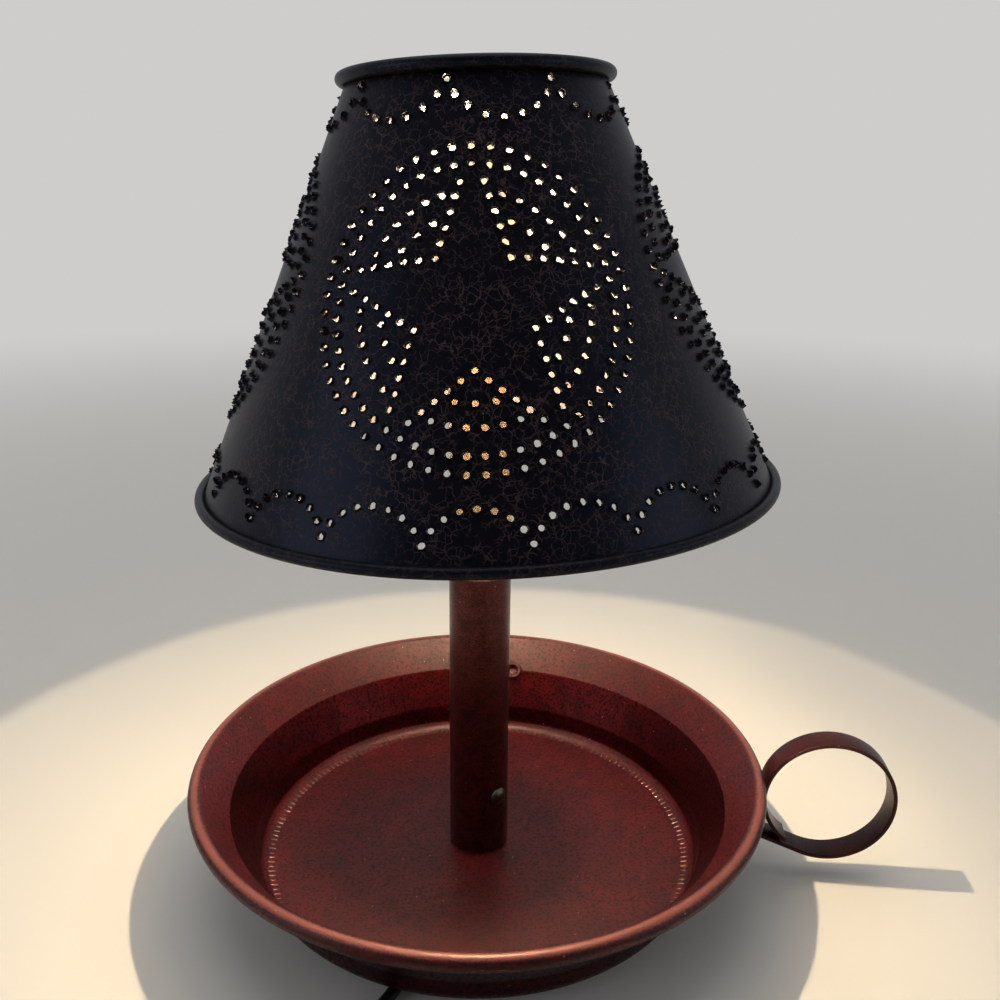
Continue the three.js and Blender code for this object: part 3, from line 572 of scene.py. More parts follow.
BRASS = Metal("plain_brass", "brass", base=srgb(198, 164, 96), tarnish=srgb(132, 98, 50), roughness=0.26)
PHENOLIC = Moulded("phenolic", "phenolic", base=srgb(44, 36, 31), mottle=srgb(66, 46, 34), roughness=0.38)
BLACK_PLASTIC = Moulded("black_plastic", "switch_plastic", base=srgb(22, 22, 23), mottle=srgb(30, 30, 31))
RUBBER = Moulded("pad_rubber", "rubber", base=srgb(26, 26, 26), mottle=srgb(38, 36, 35), roughness=0.78)
VINYL = Moulded("cord_vinyl", "vinyl", base=srgb(17, 17, 18), mottle=srgb(25, 25, 26), roughness=0.36)
TIE_VINYL = Moulded("tie_vinyl", "vinyl", base=srgb(24, 24, 24), mottle=srgb(36, 36, 36), roughness=0.6)
CLEAR_GLASS = ClearGlass("clear_glass", "bulb_glass", tint=srgb(255, 252, 244))
HOT_WIRE = Glow("hot_wire", "filament", hot=srgb(255, 232, 190), cool=srgb(255, 206, 132))


# Shapes


@dataclass
class Solid:
    """Closed shapes as points in millimetres and faces."""

    points: list[Vector]
    faces: list[tuple[int, ...]]

    def placed(self, matrix: Matrix) -> "Solid":
        """The same solid under a matrix."""
        return Solid([matrix @ point for point in self.points], self.faces)

    def __add__(self, other: "Solid") -> "Solid":
        """Both solids, side by side.

        Args:
            other: the solid that is added.

        Returns:
            Both as one.
        """
        start = len(self.points)
        moved = [tuple(start + i for i in face) for face in other.faces]
        return Solid(self.points + other.points, self.faces + moved)

    def outward(self) -> "Solid":
        """The same solid with its faces pointing out.

        Returns:
            The solid.
        """
        volume = 0.0
        for first, *rest in self.faces:
            start = self.points[first]
            for second, third in zip(rest, rest[1:]):
                volume += start.dot(self.points[second].cross(self.points[third]))
        return self if volume > 0 else Solid(self.points, [face[::-1] for face in self.faces])

    def named(self, name: str) -> Item:
        """An object of the scene, in metres.

        Args:
            name: the object's name.

        Returns:
            The object.
        """
        solid = self.outward()
        mesh = bpy.data.meshes.new(name)
        mesh.from_pydata([point * MM for point in solid.points], [], solid.faces)
        mesh.update()
        return into_scene(name, mesh)


def arc(x: float, y: float, radius: float, start: float, end: float, steps: int) -> Points:
    """Points of an arc, from one angle to another."""
    turns = [start + (end - start) * i / steps for i in range(steps + 1)]
    return [(x + radius * cos(a), y + radius * sin(a)) for a in turns]


def rounded(outline: Outline, steps: int = 4) -> Points:
    """Rounds the marked corners of a closed outline.

    Args:
        outline: corners as (x, y), or (x, y, radius) where one is rounded.
        steps: how many lines make a rounded corner.

    Returns:
        The outline's points.
    """
    result: Points = []
    for i, corner in enumerate(outline):
        here = Vector(corner[:2])
        if len(corner) < 3:
            result.append((here.x, here.y))
            continue
        back = Vector(outline[i - 1][:2]) - here
        ahead = Vector(outline[(i + 1) % len(outline)][:2]) - here
        half = back.angle(ahead) / 2
        reach = min(corner[2] / tan(half), 0.49 * back.length, 0.49 * ahead.length)
        radius = reach * tan(half)
        middle = (back.normalized() + ahead.normalized()).normalized() * (radius / sin(half))
        start, end = (way.normalized() * reach - middle for way in (back, ahead))
        first = atan2(start.y, start.x)
        turn = (atan2(end.y, end.x) - first + pi) % tau - pi
        centre = here + middle
        result += arc(centre.x, centre.y, radius, first, first + turn, steps)
    return result


def band(low: int, high: int, count: int) -> list[tuple[int, ...]]:
    """The faces between two rings of so many points, by the numbers of their first points."""
    return [(low + k, low + (k + 1) % count, high + (k + 1) % count, high + k) for k in range(count)]


def lofted(rings: Sequence[Sequence[Vector]]) -> Solid:
    """A closed solid through rings of equal count, with flat ends.

    Args:
        rings: the rings, from one end to the other.

    Returns:
        The solid.
    """
    count, last = len(rings[0]), len(rings) - 1
    faces = [tuple(reversed(range(count))), tuple(last * count + k for k in range(count))]
    for i in range(last):
        faces += band(i * count, (i + 1) * count, count)
    return Solid([point for ring in rings for point in ring], faces)


def spun(outline: Outline, segments: int = 96) -> Solid:
    """Turns an outline of (radius, height) about Z.

    Args:
        outline: a closed outline, or one that starts and ends on the axis.
        segments: how many faces go round.

    Returns:
        The closed solid.
    """
    points: list[Vector] = []
    rows: list[list[int]] = []
    for radius, height in outline:
        start = len(points)
        if radius < 1e-6:
            rows.append([start] * segments)
            points.append(Vector((0, 0, height)))
            continue
        rows.append(list(range(start, start + segments)))
        for k in range(segments):
            a = tau * k / segments
            points.append(Vector((radius * cos(a), radius * sin(a), height)))
    on_axis = outline[0][0] < 1e-6 and outline[-1][0] < 1e-6
    faces = []
    for low, high in zip(rows, rows[1:] + ([] if on_axis else rows[:1])):
        for k in range(segments):
            j = (k + 1) % segments
            face = tuple(dict.fromkeys((low[k], low[j], high[j], high[k])))
            if len(face) > 2:
                faces.append(face)
    return Solid(points, faces)


def swept(path: Sequence[Vector], section: Outline, across: Vector | None = None) -> Solid:
    """Leads a section along a path.

    Args:
        path: points of the line.
        section: a closed outline, its first number across and its second up.
        across: the way that the section's first axis keeps, or None on a round wire.

    Returns:
        The closed solid.
    """
    rings = []
    side = across
    for i, point in enumerate(path):
        into = (point - path[i - 1]).normalized() if i else None
        out = (path[i + 1] - point).normalized() if i < len(path) - 1 else None
        along = ((into or out) + (out or into)).normalized()
        if across is None:
            side = side or along.orthogonal()
            side = (side - along * side.dot(along)).normalized()
        up = along.cross(side).normalized()
        mitre = 1 / max((into or out).dot(along), 0.5)
        rings.append([point + side * u + up * v * (mitre if across else 1) for u, v in section])
    return lofted(rings)


def circle(radius: float, sides: int) -> Points:
    """The outline of a round section."""
    return arc(0, 0, radius, 0, tau * (sides - 1) / sides, sides - 1)


def bar(half: float, thick: float, edge: float, steps: int = 4) -> Points:
    """The outline of a flat section by half its width and height, with rounded edges."""
    corners = (-half, -thick), (half, -thick), (half, thick), (-half, thick)
    return rounded([(*corner, edge) for corner in corners], steps)


def rod(radius: float, start: Sequence[float], end: Sequence[float], sides: int = 32) -> Solid:
    """A plain rod between two points."""
    return swept([Vector(start), Vector(end)], circle(radius, sides))


def through(points: Sequence[Vector], per_span: int) -> list[Vector]:
    """A smooth line through points, spaced by the square root of their distance.

    Args:
        points: what the line passes through.
        per_span: how many pieces each span gets.

    Returns:
        The line's points, both ends among them.
    """
    knots = [2 * points[0] - points[1], *points, 2 * points[-1] - points[-2]]
    line = []
    for before, start, end, after in zip(knots, knots[1:], knots[2:], knots[3:]):
        spans = (before, start), (start, end), (end, after)
        first, middle, last = (max((b - a).length, 1e-6) ** 0.5 for a, b in spans)
        across = (end - start) / middle
        leave = ((start - before) / first - (end - before) / (first + middle) + across) * middle
        arrive = (across - (after - start) / (middle + last) + (after - end) / last) * middle
        for k in range(per_span):
            t = k / per_span
            line.append(
                start + leave * t
                + (3 * (end - start) - 2 * leave - arrive) * t**2
                + (2 * (start - end) + leave + arrive) * t**3
            )
    return [*line, points[-1].copy()]


def edged(outline: Inset, low: float, high: float, edges: Sequence[float], steps: int = 5) -> Solid:
    """A plate with rounded edges.

    Args:
        outline: gives the plate's outline, drawn in by so many millimetres.
        low: height of its underside.
        high: height of its top.
        edges: radii of the lower and upper edge.
        steps: how many lines make a rounded edge.

    Returns:
        The closed solid.
    """
    rings = []
    for edge, base, sign in ((edges[0], low, 1), (edges[1], high, -1)):
        layer = []
        for i in range(steps + 1):
            a = pi / 2 * i / steps
            inset, height = edge * (1 - sin(a)), base + sign * edge * (1 - cos(a))
            layer.append([Vector((x, y, height)) for x, y in outline(inset)])
        rings += layer if sign > 0 else layer[::-1]
    return lofted(rings)


def stadium(length: float, width: float, steps: int = 20) -> Inset:
    """The outline of a bar with round ends, as edged() takes it.

    Args:
        length: its whole length.
        width: its width.
        steps: how many lines make a round end.

    Returns:
        A function of the inset.
    """
    run = (length - width) / 2

    def outline(inset: float) -> Points:
        """The bar's outline, drawn in.

        Args:
            inset: how far it is drawn in.

        Returns:
            The outline's points.
        """
        half = width / 2 - inset
        return [
            *arc(run, 0, half, -pi / 2, pi / 2, steps),
            *arc(-run, 0, half, pi / 2, 3 * pi / 2, steps),
        ]

    return outline


def drawn_in(corners: Outline) -> Inset:
    """A rounded convex outline that can be drawn in, as edged() takes it.

    Args:
        corners: the outline's corners, as rounded() takes them.

    Returns:
        A function of the inset.
    """
    points = [Vector(point) for point in rounded(corners)]

    def outline(inset: float) -> Points:
        """The outline, with each point moved in square to the edge there.

        Args:
            inset: how far it is drawn in.

        Returns:
            The outline's points.
        """
        moved = []
        for i, point in enumerate(points):
            into = (point - points[i - 1]).normalized()
            out = (points[(i + 1) % len(points)] - point).normalized()
            along = (into + out).normalized()
            inward = Vector((-along.y, along.x)) / max(along.dot(out), 0.5)
            moved.append(tuple(point + inward * inset))
        return moved

    return outline


def settle(item: Item) -> Item:
    """Turns an object's modifiers into plain mesh.

    Args:
        item: the object.

    Returns:
        The object.
    """
    graph = bpy.context.evaluated_depsgraph_get()
    solved = item.evaluated_get(graph)
    mesh = bpy.data.meshes.new_from_object(solved, preserve_all_data_layers=True, depsgraph=graph)
    item.modifiers.clear()
    item.data = mesh
    return item


def carve(item: Item, tool: Solid, operation: str = "DIFFERENCE") -> Item:
    """Cuts a tool out of an object, or joins it on.

    Args:
        item: the object.
        tool: what is cut out or joined on.
        operation: the kind of cut.

    Returns:
        The object.
    """
    cutter = tool.named("cutter")
    change = item.modifiers.new("carve", "BOOLEAN")
    change.operation, change.object, change.solver = operation, cutter, "EXACT"
    settle(item)
    bpy.data.objects.remove(cutter)
    return item


def paint_wear_and_light(item: Item, share: Callable[[Vector], float]) -> None:
    """Paints wear, painted highlight and painted shade as a share on each point, by its place in millimetres.

    Args:
        item: the object.
        share: gives the share at a point.
    """
    mesh = item.data
    layer = mesh.attributes.new("rub", "FLOAT", "POINT")
    layer.data.foreach_set("value", [share(vertex.co / MM) for vertex in mesh.vertices])


@dataclass
class Dresser:
    """Gives finished pieces their finish and body, and keeps the list of them."""

    pieces: list[str] = field(default_factory=list)

    def dress(
        self, item: Item, finish: Finish, body: str, replaces: Iterable[str] = (), crease: float | None = 32,
    ) -> Item:
        """Finishes a piece.

        Args:
            item: the piece.
            finish: its finish.
            body: the body that it rides on.
            replaces: the nodes of the frame that it stands for.
            crease: the angle in degrees from which an edge stays sharp, or None where shading is set.

        Returns:
            The piece.
        """
        if not item.data.materials:
            item.data.materials.append(finish.material())
        if crease is not None:
            item.data.shade_smooth()
            item.data.set_sharp_from_angle(angle=radians(crease))
        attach(item, body)
        if replaces:
            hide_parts(*replaces)
        self.pieces.append(item.name)
        LOG.info("%s: %d faces, %s, on %s", item.name, len(item.data.polygons), finish.name, body)
        return item

    def refinish(self, finish: Finish, *nodes: str) -> None:
        """Gives nodes of the frame that stay a finish.

        Args:
            finish: the finish.
            nodes: the nodes' names.
        """
        for name in nodes:
            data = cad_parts[name].data
            data.materials.clear()
            data.materials.append(finish.material())
            LOG.info("%s: kept, %s", name, finish.name)


class Pattern(Graph):
    """A Geometry Nodes tree with named inputs that is run once."""

    def __init__(self, name: str, inputs: dict[str, str]) -> None:
        """Starts a tree.

        Args:
            name: its name.
            inputs: the name and kind of each input.
        """
        super().__init__(bpy.data.node_groups.new(name, "GeometryNodeTree"))
        self.keys = {
            key: self.socket(key, kind, "INPUT")
            for key, kind in {"Geometry": "Geometry", **inputs, "Paint": "Material"}.items()
        }
        self.socket("Geometry", "Geometry", "OUTPUT")
        self.given = self.node("NodeGroupInput").outputs

    def socket(self, name: str, kind: str, way: str) -> str:
        """Adds a socket to the tree's own interface and gives its identifier."""
        made = self.tree.interface.new_socket(name, in_out=way, socket_type=f"NodeSocket{kind}")
        return made.identifier

    def named(self, name: str, kind: str) -> Socket:
        """A named attribute of the geometry."""
        node = self.node("GeometryNodeInputNamedAttribute", {"data_type": kind}, {"Name": name})
        return node.outputs["Attribute"]

    def drawn(self, kind: str, low: Any, high: Any, seed: int) -> Socket:
        """A random value or vector for each point or copy.

        Args:
            kind: FLOAT or FLOAT_VECTOR.
            low: the least value.
            high: the greatest value.
            seed: the seed.

        Returns:
            The value.
        """
        suffix = {"FLOAT": "_001", "FLOAT_VECTOR": ""}[kind]
        node = self.node("FunctionNodeRandomValue", {"data_type": kind}, {
            f"Min{suffix}": low, f"Max{suffix}": high, "Seed": seed,
        })
        return next(s for s in node.outputs if s.enabled)

    def scaled(self, vector: Any, size: Any) -> Node:
        """A vector times a number."""
        return self.node("ShaderNodeVectorMath", {"operation": "SCALE"}, {0: vector, "Scale": size})

    def spun_about_aim(self) -> Node:
        """A rotation that stands a copy along its point's aim, at a random turn about it.

        Returns:
            The rotation.
        """
        aim = {"Vector": self.named("aim", "FLOAT_VECTOR")}
        square = self.node("FunctionNodeAlignRotationToVector", {"axis": "Z"}, aim)
        angle = self.drawn("FLOAT", 0.0, tau, self.given["Seed"])
        spin = self.node("ShaderNodeCombineXYZ", None, {"Z": angle})
        return self.node("FunctionNodeRotateRotation", {"rotation_space": "LOCAL"}, {
            "Rotation": square, "Rotate By": self.node("FunctionNodeEulerToRotation", None, {0: spin}),
        })

    def source(self, name: str) -> Socket:
        """The geometry of the object that an input names."""
        given = {"Object": self.given[name]}
        return self.node("GeometryNodeObjectInfo", {"transform_space": "ORIGINAL"}, given).outputs["Geometry"]

    def spread(self, points: Any, copy: Any, turn: Any, size: Any) -> Socket:
        """Copies of a shape on points, as real geometry."""
        placed = self.node("GeometryNodeInstanceOnPoints", None, {
            "Points": points, "Instance": copy, "Rotation": turn, "Scale": size,
        })
        return self.node("GeometryNodeRealizeInstances", None, {"Geometry": placed}).outputs[0]

    def end(self, geometry: Any) -> None:
        """Paints the geometry and closes the tree.

        Args:
            geometry: what the tree gives.
        """
        real = self.node("GeometryNodeRealizeInstances", None, {"Geometry": geometry})
        paint = {"Geometry": real, "Material": self.given["Paint"]}
        painted = self.node("GeometryNodeSetMaterial", None, paint)
        self.node("NodeGroupOutput", None, {"Geometry": painted})

    def run(self, host: Item, values: dict[str, Any]) -> Item:
        """Runs the tree on an object and leaves it a plain mesh.

        Args:
            host: the object that the tree starts from.
            values: what its inputs are set to.

        Returns:
            The object.
        """
        change = host.modifiers.new(self.tree.name, "NODES")
        change.node_group = self.tree
        for key, value in values.items():
            change[self.keys[key]] = value
        settle(host)
        host.data.materials.clear()
        host.data.materials.append(values["Paint"])
        host.data.polygons.foreach_set("material_index", [0] * len(host.data.polygons))
        return host


def ring_pattern() -> Pattern:
    """A tree that sets copies of a blank in a ring, each facing out.

    Returns:
        The tree.
    """
    tree = Pattern("ring_of_blanks", {
        "Blank": "Object", "Count": "Int", "Radius": "Float", "Height": "Float", "Least Size": "Float",
        "Seed": "Int",
    })
    given = tree.given
    ring = tree.node("GeometryNodeMeshCircle", None, {"Vertices": given["Count"], "Radius": given["Radius"]})
    place = {"Vector": tree.node("GeometryNodeInputPosition")}
    outward = tree.node("FunctionNodeAlignRotationToVector", {"axis": "X"}, place)
    size = tree.drawn("FLOAT", given["Least Size"], 1.0, given["Seed"])
    copies = tree.spread(ring, tree.source("Blank"), outward, size)
    rise = tree.node("ShaderNodeCombineXYZ", None, {"Z": given["Height"]})
    tree.end(tree.node("GeometryNodeTransform", None, {"Geometry": copies, "Translation": rise}))
    return tree


def ring_of(name: str, blank: Solid, finish: Finish, values: dict[str, Any]) -> Item:
    """A ring of copies of a blank, about the origin.

    Args:
        name: the object's name.
        blank: the copied shape, which faces out along X.
        finish: its finish.
        values: count, radius, height, least size and seed.

    Returns:
        The object.
    """
    source = blank.named("blank")
    host = into_scene(name, bpy.data.meshes.new(name))
    ring_pattern().run(host, {"Blank": source, "Paint": finish.material(), **values})
    bpy.data.objects.remove(source)
    return host


# Camera and cord


@dataclass(frozen=True)
class Viewpoint:
    """Where the photograph was taken from, counted from the tube's axis."""

    place: tuple[float, float, float] = (0.0, -326.29, 247.71)
    lens: float = 35.076
    film: float = 36
    near: float = 0.01  # metres
    pitch: float = 0.305
    yaw: float = 0.021
    roll: float = 0.012

    def make(self) -> None:
        """Makes the scene's camera."""
        level = cos(self.pitch)
        ahead = Vector((sin(self.yaw) * level, cos(self.yaw) * level, -sin(self.pitch)))
        right = Vector((cos(self.yaw), -sin(self.yaw), 0))
        up = right.cross(ahead)
        turned_right = right * cos(self.roll) + up * sin(self.roll)
        turned_up = up * cos(self.roll) - right * sin(self.roll)
        camera = into_scene("camera", bpy.data.cameras.new("camera"))
        camera.data.lens, camera.data.sensor_width, camera.data.clip_start = self.lens, self.film, self.near
        turn = Matrix((turned_right, turned_up, -ahead)).transposed().to_4x4()
        camera.matrix_world = Matrix.Translation((ON_AXIS @ Vector(self.place)) * MM) @ turn
        bpy.context.scene.camera = camera


@dataclass
class CordRun:
    """The cord: out of the post, to the switch, into its coil and on to the plug."""

    radius: float = 2.1
    line: float = 2.2  # height of the cord's middle on the table
    jacket_end: float = 22.7
    bend: float = 10
    slack: float = 2.2
    switch_at: tuple[float, float, float] = (-58, -128, 7)
    switch_turn: float = radians(241)
    switch_length: float = 48
    coil_at: tuple[float, float] = (15, -165)
    coil_radius: float = 23.5
    coil_turns: int = 4
    coil_pitch: float = 4.8
    coil_steps: int = 24
    plug_at: tuple[float, float, float] = (78, -186, 5.6)
    plug_turn: float = radians(18)
    plug_tail: float = -24.0
    under_tray: tuple = ((-12, -32.7), (-20, -54.5), (-27, -73.6))  # where it passes between the pads
    sweep: tuple = ((-79, -170, 1.6), (-76, -185, 0.2), (-62, -197, 0), (-40, -201, 0), (-16, -199.6, 0))
    per_span: int = 3
    tie_width: float = 4.5
    tie_sheet: float = 0.6
    tie_sag: float = 0.27  # how much lower the tie hangs, down to almost the table
    tie_turn: float = radians(35)

    def by_switch(self, distance: float) -> Vector:
        """A point on the line through the switch, so far along it."""
        return Vector(self.switch_at) + Vector((cos(self.switch_turn), sin(self.switch_turn), 0)) * distance

    def by_plug(self, distance: float) -> Vector:
        """A point on the line through the plug, so far along it."""
        return Vector(self.plug_at) + Vector((cos(self.plug_turn), sin(self.plug_turn), 0)) * distance

    def first_lead(self) -> list[Vector]:
        """The line from the post's bore to the switch.

        Returns:
            The line's points.
        """
        way = Vector((*self.under_tray[-1], 0)).normalized()
        turn_z = self.line + self.bend

        def out(distance: float, height: float) -> Vector:
            """A point so far out on the way from the bore."""
            return way * distance + Vector((0, 0, height))

        bend = [
            out(self.bend * (1 - cos(a)) - self.slack, turn_z - self.bend * sin(a))
            for a in (pi / 2 * i / 4 for i in range(5))
        ]
        return through([
            out(0, self.jacket_end),
            out(-self.slack / 2, (self.jacket_end + turn_z) / 2),
            *bend,
            *(Vector((x, y, self.line)) for x, y in self.under_tray),
            Vector((-31.6, -82, self.line + 0.3)),
            *(self.by_switch(-self.switch_length / 2 - reach) for reach in (8, GAP)),
        ], self.per_span)

    def coil(self) -> list[Vector]:
        """The coil's line: in on the table, up a layer at the middle, and out again.

        Returns:
            The line's points.
        """
        outer = self.coil_radius + self.coil_turns / 2 * self.coil_pitch
        count = 2 * self.coil_turns * self.coil_steps
        line = []
        for i in range(count + 1):
            turns = i / self.coil_steps
            radius = outer - min(turns, 2 * self.coil_turns - turns) * self.coil_pitch
            climb = min(max(2 * (turns - self.coil_turns) + 0.5, 0), 1)
            a = -pi / 2 + tau * turns
            line.append(Vector((
                self.coil_at[0] + radius * cos(a),
                self.coil_at[1] + radius * sin(a),
                self.line + self.coil_pitch * climb,
            )))
        return line

    def second_lead(self) -> list[Vector]:
        """The line from the switch through the coil to the plug.

        Returns:
            The line's points.
        """
        turns = self.coil()
        inward = (turns[1] - turns[0]).normalized()
        outward = (turns[-1] - turns[-2]).normalized()
        straight = 2 * self.radius
        coil_in = turns[0] - inward * straight
        coil_out = turns[-1] + Vector((outward.x, outward.y, 0)).normalized() * straight
        to_coil = through([
            *(self.by_switch(self.switch_length / 2 + reach) for reach in (GAP, 8)),
            *(Vector((x, y, self.line + rise)) for x, y, rise in self.sweep),
            coil_in - inward * 10,
            coil_in,
        ], self.per_span)
        to_plug = through([
            coil_out,
            coil_out + outward * 7,
            Vector((36, -198, self.line + 4)),
            *(self.by_plug(self.plug_tail - reach) for reach in (6, GAP)),
        ], self.per_span)
        return [*to_coil, *turns, *to_plug]

    def lead(self, name: str, line: list[Vector], dresser: Dresser, nodes: Sequence[str]) -> tuple:
        """Makes one lead and returns it with its path in metres.

        Args:
            name: the object's name.
            line: the lead's middle line.
            dresser: dresses the pieces.
            nodes: the nodes that it stands for.

        Returns:
            The object and its path in metres.
        """
        placed = [ON_AXIS @ point for point in line]
        tube = swept(placed, circle(self.radius, 14)).named(name)
        dresser.dress(tube, VINYL, "base", nodes)
        return tube, [point * MM for point in placed]

    def tie(self, dresser: Dresser) -> Item:
        """The band that holds the coil, thin where the coil lies on the table.

        Args:
            dresser: dresses the pieces.

        Returns:
            The tie.
        """
        outer = self.coil_radius + self.coil_turns / 2 * self.coil_pitch
        inner = outer - self.coil_turns * self.coil_pitch
        near, far = inner - self.radius - 1.0, outer + self.radius + 1.0
        top = self.line + self.coil_pitch + self.radius + 0.2
        low, high = 0.3, top + 0.5
        corners = [(near, low, 1.6), (far, low, 1.6), (far, high, 2.4), (near, high, 2.4)]
        loop = [Vector(p) for p in rounded(corners, 6)]
        middle = Vector(((near + far) / 2, top / 2))
        rings = []
        for y in (-self.tie_width / 2, self.tie_width / 2):
            rings.append([Vector((p.x, y, max(p.y - self.tie_sag, 0.03))) for p in loop])
        for y in (self.tie_width / 2, -self.tie_width / 2):
            drawn = []
            for p in loop:
                toward = (middle - p).normalized()
                inside = p + Vector((toward.x * self.tie_sheet, toward.y * self.tie_sheet))
                drawn.append(Vector((inside.x, y, 0.09 if p.y < 0.5 else inside.y - self.tie_sag)))
            rings.append(drawn)
        count = len(loop)
        faces = [face for i in range(4) for face in band(i * count, (i + 1) % 4 * count, count)]
        place = ON_AXIS @ shift(*self.coil_at, 0) @ rotate("Z", self.tie_turn)
        tie = Solid([p for ring in rings for p in ring], faces).placed(place).named("coil_tie")
        return dresser.dress(tie, TIE_VINYL, "base", (), 25)

    def make(self, dresser: Dresser) -> dict[str, tuple]:
        """Makes both leads and the tie."""
        to_plug = ["cord_to_coil", "cord_coil", "cord_to_plug"]
        return {
            "first": self.lead("lamp_lead", self.first_lead(), dresser, ["cord_to_switch"]),
            "second": self.lead("plug_lead", self.second_lead(), dresser, to_plug),
            "tie": self.tie(dresser),
        }

    def declare(self, leads: dict, on_first: list, on_second: list) -> None:
        """Args:
            leads: what make() gave.
            on_first: the pieces at the first lead's end.
            on_second: the pieces at the second lead's end.
        """
        for key, far_end, lay, with_pieces in (
            ("first", "fitting", "loose", on_first),
            ("second", "plug", "coiled", [*on_second, leads["tie"]]),
        ):
            tube, path = leads[key]
            length = sum((b - a).length for a, b in zip(path, path[1:]))
            tuple(path[0])
            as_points(path)
            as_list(with_pieces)
            LOG.info("%s: %.3f m of cord", tube.name, length)


@dataclass
class LineSwitch:
    """The in-line switch: two shells, a thumbwheel between them and a screw."""

    cord: CordRun
    length: float = 48
    width: float = 21
    height: float = 14
    wheel: float = 8.5
    wheel_height: float = 5
    wheel_offset: float = 4.6
    ribs: int = 40
    lift: float = 0.1
    screw_at: float = 15

    def make(self, dresser: Dresser) -> list:
        """Makes the pieces and returns them.

        Args:
            dresser: dresses the pieces.

        Returns:
            The pieces.
        """
        x, y, middle = self.cord.switch_at
        place = ON_AXIS @ shift(x, y, 0) @ rotate("Z", self.cord.switch_turn)
        at_screw = place @ shift(self.screw_at, 0, 0)
        at_wheel = place @ shift(0, self.wheel_offset, 0)
        half = self.wheel_height / 2
        low, high = middle - half, middle + half
        pocket = rod(
            self.wheel + 2 * GAP, (0, self.wheel_offset, low - GAP), (0, self.wheel_offset, high + GAP), 72,
        ).placed(place)
        outline = stadium(self.length, self.width)
        sink = spun(
            [(0, -1), (2.9, -1), (2.9, 2.3), (1.3, 2.3), (1.3, middle + 5), (0, middle + 5)], 32,
        ).placed(at_screw)
        bottom = edged(outline, self.lift, middle - GAP / 2, (2.2, 0.25)).placed(place).named("switch_base")
        top = edged(outline, middle + GAP / 2, self.height, (0.25, 2.4)).placed(place).named("switch_cover")
        for shell in (bottom, top):
            carve(carve(shell, pocket), sink)
        dresser.dress(bottom, BLACK_PLASTIC, "base", ["switch_shell_bottom"])
        dresser.dress(top, BLACK_PLASTIC, "base", ["switch_shell_top"])

        rib = edged(stadium(1.3, 0.9, 3), 0.35 - half, half - 0.35, (0.2, 0.2), 2)
        ribs = ring_of("thumb_ribs", rib, BLACK_PLASTIC, {
            "Count": self.ribs, "Radius": (self.wheel - 0.65) * MM, "Height": middle * MM, "Least Size": 1.0,
            "Seed": 3,
        })
        ribs.data.transform(Matrix.Translation((at_wheel @ Vector()) * MM))
        face, edge = self.wheel - 1.4, self.wheel - 0.45
        core = spun(rounded([
            (0, low), (face, low, 0.3), (edge, low + 0.9, 0.3),
            (edge, high - 0.9, 0.3), (face, high, 0.3), (0, high),
        ]), 80).placed(at_wheel).named("thumb_core")
        dresser.dress(ribs, BLACK_PLASTIC, "thumbwheel")
        dresser.dress(core, BLACK_PLASTIC, "thumbwheel", ["switch_wheel"])

        screw = spun(rounded([
            (0, 0.5), (1.7, 0.55, 0.3), (2.4, 1.2, 0.3), (2.4, 1.9), (1.0, 1.9),
            (1.0, middle + 4), (0, middle + 4),
        ]), 28).placed(at_screw).named("switch_cap_screw")
        carve(screw, edged(stadium(6, 0.7), 0.2, 0.95, (0.02, 0.02)).placed(at_screw))
        dresser.dress(screw, BRASS, "base", ["switch_screw"])
        return [bottom, top, ribs, core, screw]


